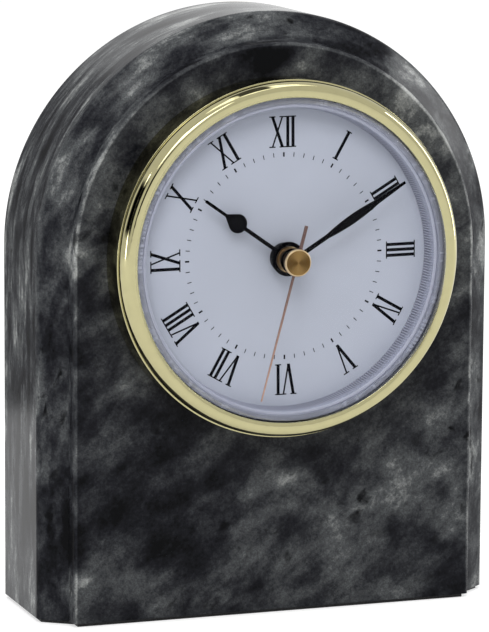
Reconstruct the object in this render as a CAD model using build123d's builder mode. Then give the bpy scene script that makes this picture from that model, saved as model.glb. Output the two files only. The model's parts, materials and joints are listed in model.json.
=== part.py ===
from build123d import *
from math import atan2, cos, degrees, hypot, radians, sin, sqrt
import os

os.makedirs("parts", exist_ok=True)

# Round-arched marble shelf clock with a round quartz insert.
# Sizes are in millimetres. Depths count from the raised front panel's face:
# positive towards the back, negative towards the viewer.
# The battery and the gear train set the movement's size, the movement sets the bore,
# and the bezel, the panel and the case follow outwards from the bore.

# Fits and cuts
overrun = 1.0                # how far a cutting shape runs past what it cuts
running_clearance = 0.08     # radial, between a turning shaft and its hole
seat_clearance = 0.02        # radial, between pieces pushed together
drop_in_clearance = 0.3      # around a piece that is laid or slid in by hand

# Marble case
case_depth = 38.0
arch_centre_z = 92.2         # also the height of the hands' axis
panel_margin = 8.3           # flat panel left round the bezel
panel_step = 3.4             # from the panel's face back to the sloping band
panel_edge_radius = 0.9
moulding_width = 7.2         # from the panel's edge out to the case's side
band_foot = 0.6              # the band starts this far outside the panel
band_slope_depth = 5.0       # how far the band falls back on its way out
outer_edge_tangent = 1.0     # how far the rounded edge reaches on either face
back_edge_radius = 1.0
bore_edge_chamfer = 0.6
felt_thickness = 1.0
felt_inset = 1.2
felt_corner_radius = 2.0

# Gold bezel, a drum that stands proud of the marble
bezel_wall = 0.8
bezel_play = 0.8             # between the cup and the bezel's wall
bezel_ledge = 0.3            # flat edge between the wall and the rolled rim
bezel_roll = 2.1             # from the ledge in to the crest of the rim
bezel_roll_height = 3.6
bezel_rim_width = 1.85       # from the crest in to the lip
bezel_rim_drop = 0.3

# Lens, a raised dome with a flange that the lip holds
lens_thickness = 1.3
lens_flange_thickness = 0.6
lens_raise = 5.3             # from the flange's back face up to the shoulder
lens_draft = 1.0             # how far the shoulder leans in
lens_dome = 2.8              # from the shoulder up to the apex
lens_lip_clearance = 0.3
lens_hand_clearance = 0.1    # between the second hand and the lens at its shoulder

# Dial, its ribbed surround and the cup that holds them
dial_height = 4.8            # the dial's face in front of the panel
dial_thickness = 0.5
dial_lap = 2.6               # how far the dial reaches past the cup's skirt
surround_foot_width = 4.2
surround_top_width = 3.7
surround_ribs = 360
surround_rib_depth = 0.3
cup_web = 1.2
cup_wall = 1.6
cup_flange = 0.8
cup_skirt_wall = 0.8
cup_skirt_length = 8.0
grip_thickness = 0.6         # rubber grip band round the skirt
grip_width = 5.0
grip_start = 2.0
grip_gap = 0.2               # left between the grip band and the bore

# Movement case
movement_wall = 1.2
movement_corner_radius = 3.0
movement_side_gap = 0.6      # from the movement's corners to the cup's skirt
cover_thickness = 1.2
cover_lip = 1.0
wheel_gap = 0.3              # from the lowest wheel to the battery bay's roof
bay_clearance = 0.25         # above and below the battery
contact_room = 1.55          # at each end of the battery
coil_gap = 0.5               # from the coil to the movement's top wall
boss_wall = 0.62
boss_height = 2.0            # above the dial
nut_wall = 0.8
nut_height = 1.6
nut_slot_width = 1.2
nut_slot_depth = 0.5

# Battery, size AA
battery_radius = 7.25
battery_length = 50.5
battery_nub_radius = 2.75
battery_nub_length = 1.0
battery_edge_radius = 0.6

# Shafts and hand tubes, from the inside out
second_arbor_radius = 0.45
minute_tube_wall = 1.02
hour_tube_wall = 0.67
arbor_radius = 0.5
pivot_radius = 0.35
pivot_length = 0.8

# How far the hands and tubes stand in front of one another
hand_thickness = 0.3
hour_hand_gap = 1.0          # from the boss to the hour hand
hour_tube_rise = 1.5         # from the hour hand's back to its tube's end
minute_hand_gap = 1.5        # from the hour tube to the minute hand
minute_tube_rise = 1.6
second_hand_gap = 1.6        # from the minute tube to the second hand
second_pipe_gap = 0.1

# Hands: turned clockwise from XII, in degrees
hour_angle = 305.2
minute_angle = 58.2
second_angle = 194.9
hour_length = 26.8
hour_width = 1.0             # between the hub and the disc
hour_point_width = 0.8
hour_disc_radius = 2.4
hour_disc_place = 16.4
hour_neck_length = 1.3       # from the disc's far edge to where it meets the stick
hour_neck_angle = 30.0       # where the neck leaves the disc
hour_bush_wall = 0.45
hour_bush_lap = 0.55         # how far the bush's flange lies on the hand
hour_bush_flange = 0.35
hour_hub_lap = 1.05          # how far the hand's hub shows round the flange
minute_tip_gap = 2.4         # from the tip to the surround
minute_root_width = 1.15
minute_waist_place = 11.0    # where the widening starts
minute_belly_width = 2.3
minute_belly_place = 20.4
minute_neck_width = 1.25     # where the belly has run out into the point
minute_neck_place = 26.4
minute_tip_width = 0.7
minute_bush_wall = 0.4
minute_bush_lap = 0.65
minute_bush_flange = 0.3
minute_hub_lap = 0.5
second_tip_gap = 1.9
second_root_width = 0.7
second_tip_width = 0.35
second_tail_length = 9.4
second_tail_width = 0.85
second_hub_radius = 1.5
second_pipe_wall = 0.45
cap_radius = 3.45
cap_height = 0.9
cap_edge_radius = 0.4

# Gear train: tooth counts, modules and the places of the axles
rotor_teeth = 12
fifth_teeth = 60
fifth_pinion_teeth = 10
second_teeth = 60
second_pinion_teeth = 8
third_teeth = 60
third_pinion_teeth = 8
centre_teeth = 64
cannon_teeth = 12
minute_teeth = 36
minute_pinion_teeth = 10
hour_teeth = 40
knob_teeth = 12
train_module = 0.3           # running train
setting_module = 0.35        # cannon pinion, minute wheel and setting pinion
fifth_rise = 5.25            # axle heights above the hands' axis
third_rise = 5.2
minute_drop = 2.87           # the minute wheel's axle lies below it
rotor_side = 5.4             # the rotor's axle, right of the fifth wheel's
addendum_share = 0.9         # of the module
dedendum_share = 1.3
root_tooth_share = 0.29      # half a tooth's width, of the tooth pitch
tip_tooth_share = 0.10
wheel_thickness = 0.6
pinion_thickness = 1.2
wheel_hub_radius = 1.1

# Spacing of the gear train's layers, from the middle of one wheel to the next
hour_layer_step = 0.8        # from the chamber's front wall
minute_layer_step = 1.3
centre_layer_step = 1.5
bridge_step = 1.4            # from the centre wheel to the bridge
third_layer_step = 1.3       # from the bridge to the third wheel
second_layer_step = 1.8
fifth_layer_step = 2.0
cover_step = 1.9             # from the fifth wheel to the cover

# Gear bridge, the moulded plate between the two halves of the train
bridge_thickness = 1.0
bridge_side_gap = 0.8
bridge_foot_radius = 1.6
bridge_foot_inset = 4.0      # from the bridge's edges in to its feet
bridge_low_foot_rise = 2.3

# Motor: rotor, stator, coil
magnet_radius = 2.5
magnet_length = 3.0
magnet_step = 1.0            # from the bridge to the magnet
magnet_gap = 0.6
stator_thickness = 0.8
stator_step = 1.0            # from the magnet's front to the stator's
stator_leg_width = 3.0
stator_bar_width = 2.4
stator_head = 5.6            # half width of the plate round the rotor
stator_corner_radius = 2.0
stator_neck = 0.5            # thin necks of iron above and below the rotor
coil_rise = 7.4              # from the rotor's axle up to the coil
coil_length = 20.0
coil_shift = 5.5             # the coil's middle, left of the rotor
coil_radius = 3.3
winding_radius = 2.9
bobbin_tube_radius = 1.7
bobbin_flange = 0.8
core_width = 2.4
core_thickness = 0.8
core_clearance = 0.1

# Circuit board
board_width = 6.6
board_height = 17.0
board_thickness = 0.8
board_gap = 0.5              # to the movement's right wall
crystal_radius = 1.0
crystal_length = 6.0
crystal_rise = 12.2          # above the board's foot
chip_radius = 2.2
chip_height = 0.9
chip_rise = 6.2

# Battery contacts
contact_thickness = 0.4
contact_width = 3.0
lead_width = 1.6             # the minus lead along the divider
contact_reach = 3.0          # how far the plus strip runs onto the board
plate_height = 12.0
plate_depth = 9.0
spring_foot_radius = 3.2
spring_tip_radius = 1.8

# Setting knob at the back
knob_radius = 4.4
knob_thickness = 2.4
knob_gap = 0.4
knob_arbor_radius = 1.1
knob_grooves = 18
knob_groove_radius = 0.35


# Distance between the axles of two wheels that mesh, and the module at a distance.
def mesh_distance(module, teeth, other_teeth):
    return module * (teeth + other_teeth) / 2


def module_for(distance, teeth, other_teeth):
    return distance * 2 / (teeth + other_teeth)


# How far a wheel's teeth reach from its axle.
def tip_radius(module, teeth):
    return module * (teeth / 2 + addendum_share)


# Worked out: the axles, right of and above the hands' axis
rotor_distance = mesh_distance(train_module, rotor_teeth, fifth_teeth)
fifth_distance = mesh_distance(train_module, fifth_pinion_teeth, second_teeth)
third_distance = mesh_distance(train_module, second_pinion_teeth, third_teeth)
minute_distance = mesh_distance(setting_module, cannon_teeth, minute_teeth)
centre_module = module_for(third_distance, third_pinion_teeth, centre_teeth)
hour_module = module_for(minute_distance, minute_pinion_teeth, hour_teeth)
hands_place = (0.0, 0.0)
fifth_place = (sqrt(fifth_distance**2 - fifth_rise**2), fifth_rise)
rotor_place = (fifth_place[0] + rotor_side, fifth_rise + sqrt(rotor_distance**2 - rotor_side**2))
third_place = (-sqrt(third_distance**2 - third_rise**2), third_rise)
minute_place = (-sqrt(minute_distance**2 - minute_drop**2), -minute_drop)
knob_place = (minute_place[0] - minute_distance, -minute_drop)

# Worked out: the movement round its battery, train and coil
lowest_tooth = -max(
    minute_drop + tip_radius(setting_module, minute_teeth),
    tip_radius(centre_module, centre_teeth),
    tip_radius(train_module, second_teeth),
)
bay_height = (battery_radius + bay_clearance) * 2
divider_top = lowest_tooth - wheel_gap
bay_centre_z = divider_top - movement_wall - bay_height / 2
movement_bottom = divider_top - movement_wall - bay_height - movement_wall
coil_z = rotor_place[1] + coil_rise
chamber_top = coil_z + coil_radius + coil_gap
movement_top = chamber_top + movement_wall
half_inside = battery_length / 2 + contact_room
movement_half_width = half_inside + movement_wall
movement_height = movement_top - movement_bottom

# Worked out: hand tubes and hand heights above the dial
minute_tube_radius = second_arbor_radius + running_clearance + minute_tube_wall
hour_tube_radius = minute_tube_radius + running_clearance + hour_tube_wall
boss_radius = hour_tube_radius + running_clearance + boss_wall
nut_radius = boss_radius + nut_wall
hour_bush_radius = hour_tube_radius + hour_bush_wall
hour_bush_flange_radius = hour_bush_radius + hour_bush_lap
hour_hub_radius = hour_bush_flange_radius + hour_hub_lap
minute_bush_radius = minute_tube_radius + minute_bush_wall
minute_bush_flange_radius = minute_bush_radius + minute_bush_lap
minute_hub_radius = minute_bush_flange_radius + minute_hub_lap
second_pipe_radius = second_arbor_radius + second_pipe_wall
hour_hand_height = boss_height + hour_hand_gap
hour_tube_top = hour_hand_height + hour_tube_rise
minute_hand_height = hour_tube_top + minute_hand_gap
minute_tube_top = minute_hand_height + minute_tube_rise
second_hand_height = minute_tube_top + second_hand_gap
second_pipe_length = second_hand_gap - second_pipe_gap

# Worked out: from the movement's corners out to the bore, the bezel and the case
corner_reach = hypot(
    movement_half_width - movement_corner_radius,
    max(movement_top, -movement_bottom) - movement_corner_radius,
)
skirt_inside = corner_reach + movement_corner_radius + movement_side_gap
cup_skirt_radius = skirt_inside + cup_skirt_wall
bore_radius = cup_skirt_radius + seat_clearance + grip_thickness + grip_gap
dial_radius = cup_skirt_radius + dial_lap
surround_foot_radius = dial_radius - surround_foot_width
surround_top_radius = dial_radius - surround_top_width
cup_inside = dial_radius + seat_clearance
cup_outside = cup_inside + cup_wall
wall_inside = cup_outside + bezel_play
cup_flange_radius = wall_inside - seat_clearance
bezel_radius = wall_inside + bezel_wall
bezel_roll_radius = bezel_radius - bezel_ledge
bezel_crest_radius = bezel_roll_radius - bezel_roll
bezel_lip_radius = bezel_crest_radius - bezel_rim_width
lens_neck_radius = bezel_lip_radius - lens_lip_clearance
lens_shoulder_radius = lens_neck_radius - lens_draft
panel_half_width = bezel_radius + panel_margin
case_half_width = panel_half_width + moulding_width
band_outer_depth = panel_step + band_slope_depth
dial_z = arch_centre_z
minute_length = surround_foot_radius - minute_tip_gap
second_length = surround_foot_radius - second_tip_gap

# Worked out: heights in front of the panel, up to the lens's apex
inner_shoulder_height = dial_height + second_hand_height + hand_thickness + lens_hand_clearance
lens_shoulder_height = inner_shoulder_height + lens_thickness
lens_apex_height = lens_shoulder_height + lens_dome
lens_seat_height = lens_shoulder_height - lens_raise
lip_back_height = lens_seat_height + lens_flange_thickness
bezel_lip_height = lip_back_height + bezel_wall
bezel_crest_height = bezel_lip_height + bezel_rim_drop
bezel_wall_height = bezel_crest_height - bezel_roll_height

# Worked out: the part's origin is at the middle of its box, on the shelf
panel_y = (lens_apex_height - case_depth) / 2

# Worked out: depths from the dial back through the movement
dial_depth = -dial_height
cup_web_depth = dial_depth + dial_thickness
movement_front = cup_web_depth + cup_web
chamber_front = movement_front + movement_wall
hour_wheel_depth = chamber_front + hour_layer_step
minute_wheel_depth = hour_wheel_depth + minute_layer_step
centre_wheel_depth = minute_wheel_depth + centre_layer_step
bridge_depth = centre_wheel_depth + bridge_step
bridge_back = bridge_depth + bridge_thickness
third_wheel_depth = bridge_back + third_layer_step
second_wheel_depth = third_wheel_depth + second_layer_step
fifth_wheel_depth = second_wheel_depth + fifth_layer_step
cover_depth = fifth_wheel_depth + cover_step
movement_back_depth = cover_depth + cover_thickness
magnet_depth = bridge_back + magnet_step
stator_depth = magnet_depth + stator_step
dial_axis = Axis((0, panel_y, dial_z), (0, 1, 0))
half_section = Plane(origin=(0, panel_y, dial_z), x_dir=(1, 0, 0), z_dir=(0, 0, 1))


# A plane parallel to the dial whose normal points at the viewer. Sketches on it read
# as seen from the front, and are extruded forwards from the depth given.
def facing(depth, x=0.0, z=dial_z):
    return Plane(origin=(x, panel_y + depth, z), x_dir=(1, 0, 0), z_dir=(0, -1, 0))


# The same plane with its origin at a place right of and above the hands' axis.
def facing_at(place, depth):
    return facing(depth, place[0], dial_z + place[1])


# A plane square to X, for pieces that lie across the movement.
def along_x(x, depth, z):
    return Plane(origin=(x, panel_y + depth, dial_z + z), x_dir=(0, 1, 0), z_dir=(1, 0, 0))


# A lathe plane for a piece whose axis runs front to back at x, z from the dial's axis.
def lathe(x=0.0, z=0.0):
    return Plane(origin=(x, panel_y, dial_z + z), x_dir=(1, 0, 0), z_dir=(0, 0, 1))


def lathe_axis(x=0.0, z=0.0):
    return Axis((x, panel_y, dial_z + z), (0, 1, 0))


# The point at a distance and direction, anticlockwise from the right, from a start.
def polar(distance, direction, start=(0.0, 0.0)):
    return (start[0] + distance * cos(radians(direction)), start[1] + distance * sin(radians(direction)))


def save(piece, name):
    piece.part.label = name
    export_step(piece.part, f"parts/{name}.step")


# Sharp-cornered outline of the arch: two uprights and a half circle.
def arch_outline(plane, half_width, foot_z):
    with BuildSketch(plane) as outline:
        with BuildLine():
            Line((-half_width, foot_z), (half_width, foot_z))
            Line((half_width, foot_z), (half_width, arch_centre_z))
            RadiusArc((half_width, arch_centre_z), (-half_width, arch_centre_z), -half_width)
            Line((-half_width, arch_centre_z), (-half_width, foot_z))
        make_face()
    return outline.sketch


# Marble case: an arched block whose front edge is moulded all round by one swept cutter.
# The cutter's section is drawn from the panel's edge outwards, with the sloping band,
# the step up to the raised panel and the rounded edges.
def case_moulding_section(plane):
    slope = hypot(moulding_width - band_foot, band_slope_depth)
    outwards = (moulding_width - band_foot) / slope
    backwards = band_slope_depth / slope
    arc_start = (
        moulding_width - outer_edge_tangent * outwards,
        band_outer_depth - outer_edge_tangent * backwards,
    )
    arc_end = (moulding_width, band_outer_depth + outer_edge_tangent)
    outside = moulding_width + overrun
    with BuildSketch(plane) as section:
        with BuildLine():
            Line((outside, -overrun), (-panel_edge_radius, -overrun))
            Line((-panel_edge_radius, -overrun), (-panel_edge_radius, 0))
            RadiusArc((-panel_edge_radius, 0), (0, panel_edge_radius), panel_edge_radius)
            Line((0, panel_edge_radius), (band_foot, panel_step))
            Line((band_foot, panel_step), arc_start)
            TangentArc(arc_start, arc_end, tangent=(outwards, backwards))
            Line(arc_end, (outside, arc_end[1]))
            Line((outside, arc_end[1]), (outside, -overrun))
        make_face()
    return section.sketch


with BuildPart() as marble_case:
    extrude(arch_outline(facing(case_depth, z=0), case_half_width, felt_thickness), amount=case_depth)
    right_foot = (panel_half_width, panel_y, felt_thickness - overrun)
    right_spring = (panel_half_width, panel_y, arch_centre_z)
    left_spring = (-panel_half_width, panel_y, arch_centre_z)
    left_foot = (-panel_half_width, panel_y, felt_thickness - overrun)
    with BuildLine() as panel_edge:
        Line(right_foot, right_spring)
        ThreePointArc(right_spring, (0, panel_y, arch_centre_z + panel_half_width), left_spring)
        Line(left_spring, left_foot)
    section_plane = Plane(origin=right_foot, x_dir=(1, 0, 0), z_dir=(0, 0, 1))
    sweep(case_moulding_section(section_plane), path=panel_edge.line, mode=Mode.SUBTRACT)
    with BuildSketch(half_section):
        with BuildLine():
            Polyline(
                (0, -overrun),
                (bore_radius, -overrun),
                (bore_radius, case_depth - bore_edge_chamfer),
                (bore_radius + bore_edge_chamfer + overrun, case_depth + overrun),
                (0, case_depth + overrun),
                close=True,
            )
        make_face()
    revolve(axis=dial_axis, mode=Mode.SUBTRACT)
    back_face = marble_case.faces().sort_by(Axis.Y)[-1]
    upper_edges = back_face.outer_wire().edges().filter_by(lambda edge: edge.center().Z > felt_thickness)
    fillet(upper_edges, radius=back_edge_radius)
save(marble_case, "marble_case")

# Felt pad under the case: the footprint drawn in a little
with BuildPart() as felt_base_pad:
    with BuildSketch(Plane.XY):
        with BuildLine():
            Polyline(
                (-panel_half_width, panel_y),
                (panel_half_width, panel_y),
                (panel_half_width, panel_y + panel_step),
                (case_half_width, panel_y + band_outer_depth),
                (case_half_width, panel_y + case_depth),
                (-case_half_width, panel_y + case_depth),
                (-case_half_width, panel_y + band_outer_depth),
                (-panel_half_width, panel_y + panel_step),
                close=True,
            )
        make_face()
        offset(amount=-felt_inset, kind=Kind.INTERSECTION)
    extrude(amount=felt_thickness)
    fillet(felt_base_pad.edges().filter_by(Axis.Z).group_by(Axis.Y)[-1], radius=felt_corner_radius)
save(felt_base_pad, "felt_base_pad")

# Bezel: a spun shell with a plain wall and a rounded rim that rolls in to the lip
rim_inside_height = bezel_crest_height - bezel_wall
with BuildPart() as bezel:
    with BuildSketch(half_section):
        with BuildLine():
            Line((bezel_radius, 0), (bezel_radius, -bezel_wall_height))
            Line((bezel_radius, -bezel_wall_height), (bezel_roll_radius, -bezel_wall_height))
            EllipticalCenterArc(
                (bezel_crest_radius, -bezel_wall_height),
                bezel_roll,
                bezel_roll_height,
                start_angle=270,
                arc_size=90,
            )
            EllipticalCenterArc(
                (bezel_crest_radius, -bezel_lip_height),
                bezel_rim_width,
                bezel_rim_drop,
                start_angle=180,
                arc_size=90,
            )
            Line((bezel_lip_radius, -bezel_lip_height), (bezel_lip_radius, -lip_back_height))
            Line((bezel_lip_radius, -lip_back_height), (bezel_crest_radius, -rim_inside_height))
            EllipticalCenterArc(
                (bezel_crest_radius, -bezel_wall_height),
                wall_inside - bezel_crest_radius,
                rim_inside_height - bezel_wall_height,
                start_angle=270,
                arc_size=90,
            )
            Line((wall_inside, -bezel_wall_height), (wall_inside, 0))
            Line((wall_inside, 0), (bezel_radius, 0))
        make_face()
    revolve(axis=dial_axis)
save(bezel, "bezel")

# Lens: a flange under the lip, a raised shoulder and a shallow dome of even thickness
lens_flange_height = lip_back_height - seat_clearance
outer_dome_radius = (lens_shoulder_radius**2 + lens_dome**2) / lens_dome / 2
lens_inner_neck = lens_neck_radius - lens_thickness
lens_inner_shoulder = lens_shoulder_radius - lens_thickness
inner_dome_radius = (lens_inner_shoulder**2 + lens_dome**2) / lens_dome / 2
inner_apex_height = lens_apex_height - lens_thickness
with BuildPart() as lens:
    with BuildSketch(half_section):
        with BuildLine():
            RadiusArc(
                (0, -lens_apex_height), (lens_shoulder_radius, -lens_shoulder_height), -outer_dome_radius
            )
            Polyline(
                (lens_shoulder_radius, -lens_shoulder_height),
                (lens_neck_radius, -lens_flange_height),
                (dial_radius, -lens_flange_height),
                (dial_radius, -lens_seat_height),
                (lens_inner_neck, -lens_seat_height),
                (lens_inner_shoulder, -inner_shoulder_height),
            )
            RadiusArc(
                (lens_inner_shoulder, -inner_shoulder_height), (0, -inner_apex_height), inner_dome_radius
            )
            Line((0, -inner_apex_height), (0, -lens_apex_height))
        make_face()
    revolve(axis=dial_axis)
save(lens, "lens")


# Outline of the surround's opening: a crest and a groove for each fine rib.
def rib_outline(depth, crest_radius):
    pitch_angle = 360 / surround_ribs
    corners = []
    for rib in range(surround_ribs):
        corners.append(polar(crest_radius, rib * pitch_angle))
        corners.append(polar(crest_radius + surround_rib_depth, (rib + 1 / 2) * pitch_angle))
    with BuildSketch(facing(depth)) as outline:
        with BuildLine():
            Polyline(*corners, close=True)
        make_face()
    return outline.sketch


# Ribbed surround: the deep plastic ring between the dial and the lens, opening out a little
with BuildPart() as dial_surround:
    with BuildSketch(facing(dial_depth)):
        Circle(dial_radius)
    extrude(amount=lens_seat_height - dial_height)
    foot_outline = rib_outline(dial_depth, surround_foot_radius)
    top_outline = rib_outline(-lens_seat_height, surround_top_radius)
    loft([foot_outline, top_outline], ruled=True, mode=Mode.SUBTRACT)
save(dial_surround, "dial_surround")

# Dial: a thin printed disc with the hole for the movement's boss
with BuildPart() as dial:
    with BuildSketch(facing(cup_web_depth)):
        Circle(dial_radius)
        Circle(boss_radius + running_clearance, mode=Mode.SUBTRACT)
    extrude(amount=dial_thickness)
save(dial, "dial")

# Cup: the pan that carries the dial, with a flange on the marble and a skirt in its bore
with BuildPart() as insert_cup:
    with BuildSketch(half_section):
        with BuildLine():
            Polyline(
                (boss_radius + running_clearance, cup_web_depth),
                (cup_inside, cup_web_depth),
                (cup_inside, -lens_seat_height),
                (cup_outside, -lens_seat_height),
                (cup_outside, -cup_flange),
                (cup_flange_radius, -cup_flange),
                (cup_flange_radius, 0),
                (cup_skirt_radius, 0),
                (cup_skirt_radius, cup_skirt_length),
                (skirt_inside, cup_skirt_length),
                (skirt_inside, -cup_flange),
                (cup_inside, -cup_flange),
                (cup_inside, movement_front),
                (boss_radius + running_clearance, movement_front),
                close=True,
            )
        make_face()
    revolve(axis=dial_axis)
save(insert_cup, "insert_cup")

# Rubber grip band that holds the insert in the marble
with BuildPart() as grip_band:
    with BuildSketch(half_section):
        with Locations((cup_skirt_radius + seat_clearance, grip_start)):
            Rectangle(grip_thickness, grip_width, align=(Align.MIN, Align.MIN))
    revolve(axis=dial_axis)
save(grip_band, "grip_band")

# Pivot holes and the contacts' slots, which run beside the board and the bridge
front_pivots = [third_place, minute_place, knob_place]
bridge_pivots = [fifth_place, rotor_place]
cover_pivots = [hands_place, third_place, fifth_place, rotor_place]
board_face = bridge_back + board_thickness
contact_slot_width = contact_room + drop_in_clearance
bottom_middle = (Align.CENTER, Align.MIN)

# Movement case: an open-backed box with a battery bay along its foot and a hollow boss
with BuildPart() as movement_case:
    with BuildSketch(facing(cover_depth)):
        with Locations((0, movement_bottom + movement_height / 2)):
            RectangleRounded(movement_half_width * 2, movement_height, movement_corner_radius)
    extrude(amount=cover_depth - movement_front)
    with BuildSketch(facing(cover_depth)):
        with Locations((0, divider_top)):
            Rectangle(half_inside * 2, chamber_top - divider_top, align=bottom_middle)
        with Locations((0, bay_centre_z)):
            Rectangle(half_inside * 2, bay_height)
    extrude(amount=cover_depth - chamber_front, mode=Mode.SUBTRACT)
    with BuildSketch(facing(movement_front)):
        Circle(boss_radius)
    extrude(amount=movement_front - dial_depth + boss_height)
    with BuildSketch(facing(chamber_front + overrun)):
        Circle(hour_tube_radius + running_clearance)
    extrude(amount=chamber_front + overrun - dial_depth + boss_height + overrun, mode=Mode.SUBTRACT)
    with BuildSketch(facing(chamber_front)):
        with Locations(*front_pivots):
            Circle(pivot_radius + running_clearance)
    extrude(amount=pivot_length + running_clearance, mode=Mode.SUBTRACT)
    with BuildSketch(facing(board_face + contact_width + drop_in_clearance)):
        for side in (-1, 1):
            slot_x = side * (half_inside - contact_slot_width / 2)
            with Locations((slot_x, divider_top - movement_wall / 2)):
                Rectangle(contact_slot_width, movement_wall + drop_in_clearance)
    extrude(amount=contact_width + board_thickness + drop_in_clearance * 2, mode=Mode.SUBTRACT)
save(movement_case, "movement_case")

# Back cover of the train, with the pivot holes and the hole for the setting arbor
with BuildPart() as movement_cover:
    with BuildSketch(facing(movement_back_depth)) as cover_face:
        cover_height = movement_top - divider_top + movement_wall
        with Locations((0, divider_top - movement_wall)):
            Rectangle(movement_half_width * 2, cover_height, align=bottom_middle)
        upper_corners = cover_face.vertices().group_by(Axis.Y)[-1]
        fillet(upper_corners, radius=movement_corner_radius)
        with Locations(knob_place):
            Circle(knob_arbor_radius + running_clearance, mode=Mode.SUBTRACT)
    extrude(amount=cover_thickness)
    with BuildSketch(facing(cover_depth)):
        lip_width = (half_inside - drop_in_clearance) * 2
        lip_height = chamber_top - divider_top - drop_in_clearance * 2
        with Locations((0, divider_top + drop_in_clearance + lip_height / 2)):
            Rectangle(lip_width, lip_height)
            Rectangle(lip_width - cover_lip * 2, lip_height - cover_lip * 2, mode=Mode.SUBTRACT)
    extrude(amount=cover_lip / 2)
    with BuildSketch(facing(cover_depth)):
        with Locations(*cover_pivots):
            Circle(wheel_hub_radius)
    extrude(amount=cover_lip / 2)
    with BuildSketch(facing(cover_depth + pivot_length - cover_lip / 2)):
        with Locations(*cover_pivots):
            Circle(pivot_radius + running_clearance)
    extrude(amount=pivot_length + overrun, mode=Mode.SUBTRACT)
save(movement_cover, "movement_cover")

# Gear bridge: a plate on four feet that carries the inner pivots
bridge_width = half_inside * 2 - bridge_side_gap * 2
bridge_low = divider_top + bridge_side_gap
bridge_high = coil_z - coil_radius - bridge_side_gap
bridge_foot_x = bridge_width / 2 - bridge_foot_inset
bridge_low_foot_z = bridge_low + bridge_low_foot_rise
bridge_high_foot_z = bridge_high - bridge_foot_inset
bridge_feet = [
    (-bridge_foot_x, bridge_low_foot_z),
    (-bridge_foot_x, bridge_high_foot_z),
    (bridge_foot_x, bridge_low_foot_z),
    (bridge_foot_x, bridge_high_foot_z),
]
with BuildPart() as gear_bridge:
    with BuildSketch(facing(bridge_back)):
        with Locations((0, (bridge_low + bridge_high) / 2)):
            RectangleRounded(bridge_width, bridge_high - bridge_low, bridge_foot_radius)
        Circle(minute_tube_radius + drop_in_clearance, mode=Mode.SUBTRACT)
        with Locations(third_place):
            Circle(wheel_hub_radius + drop_in_clearance, mode=Mode.SUBTRACT)
        with Locations(knob_place):
            Circle(knob_arbor_radius + drop_in_clearance, mode=Mode.SUBTRACT)
    extrude(amount=bridge_thickness)
    with BuildSketch(facing(bridge_depth)):
        with Locations(*bridge_feet):
            Circle(bridge_foot_radius)
    extrude(amount=bridge_depth - chamber_front)
    with BuildSketch(facing(bridge_depth + bridge_thickness + overrun)):
        with Locations(*bridge_pivots):
            Circle(pivot_radius + running_clearance)
    extrude(amount=pivot_length + overrun, mode=Mode.SUBTRACT)
save(gear_bridge, "gear_bridge")

# Ring nut on the boss, with two slots for its key
with BuildPart() as ring_nut:
    with BuildSketch(facing(dial_depth)):
        Circle(nut_radius)
        Circle(boss_radius + seat_clearance, mode=Mode.SUBTRACT)
    extrude(amount=nut_height)
    with BuildSketch(facing(dial_depth - nut_height + nut_slot_depth)):
        Rectangle(nut_slot_width, nut_radius * 2 + overrun)
    extrude(amount=nut_slot_depth + overrun, mode=Mode.SUBTRACT)
save(ring_nut, "ring_nut")


# Outline of a toothed wheel with straight-flanked teeth, first tooth at the phase given.
def gear_outline(plane, teeth, module, phase):
    pitch_radius = module * teeth / 2
    tip = pitch_radius + module * addendum_share
    root = pitch_radius - module * dedendum_share
    pitch_angle = 360 / teeth
    corners = []
    for tooth in range(teeth):
        middle = phase + tooth * pitch_angle
        corners.append(polar(root, middle - pitch_angle * root_tooth_share))
        corners.append(polar(tip, middle - pitch_angle * tip_tooth_share))
        corners.append(polar(tip, middle + pitch_angle * tip_tooth_share))
        corners.append(polar(root, middle + pitch_angle * root_tooth_share))
    with BuildSketch(plane) as outline:
        with BuildLine():
            Polyline(*corners, close=True)
        make_face()
    return outline.sketch


# The driven wheel's first tooth, so that at rest a gap of one wheel faces a tooth of the other.
def meshed_phase(driver_phase, driver_teeth, driven_teeth, direction):
    share_past_tooth = ((direction - driver_phase) * driver_teeth / 360) % 1
    return direction + 180 + (share_past_tooth + 1 / 2) * 360 / driven_teeth


# Direction from one axle to another, anticlockwise from the right
def direction_to(start, end):
    return degrees(atan2(end[1] - start[1], end[0] - start[0]))


# Where a layer of the train starts at the back, from its middle
def back_of(middle, thickness):
    return middle + thickness / 2


fifth_phase = meshed_phase(0, rotor_teeth, fifth_teeth, direction_to(rotor_place, fifth_place))
second_phase = meshed_phase(0, fifth_pinion_teeth, second_teeth, direction_to(fifth_place, hands_place))
third_phase = meshed_phase(0, second_pinion_teeth, third_teeth, direction_to(hands_place, third_place))
centre_phase = meshed_phase(0, third_pinion_teeth, centre_teeth, direction_to(third_place, hands_place))
minute_phase = meshed_phase(0, cannon_teeth, minute_teeth, direction_to(hands_place, minute_place))
hour_phase = meshed_phase(0, minute_pinion_teeth, hour_teeth, direction_to(minute_place, hands_place))
knob_phase = meshed_phase(minute_phase, minute_teeth, knob_teeth, direction_to(minute_place, knob_place))
cover_pivot_face = cover_depth - cover_lip / 2
cover_pivot_depth = cover_pivot_face + pivot_length - running_clearance
front_pivot_depth = chamber_front - pivot_length
bridge_pivot_depth = bridge_back - pivot_length

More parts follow.
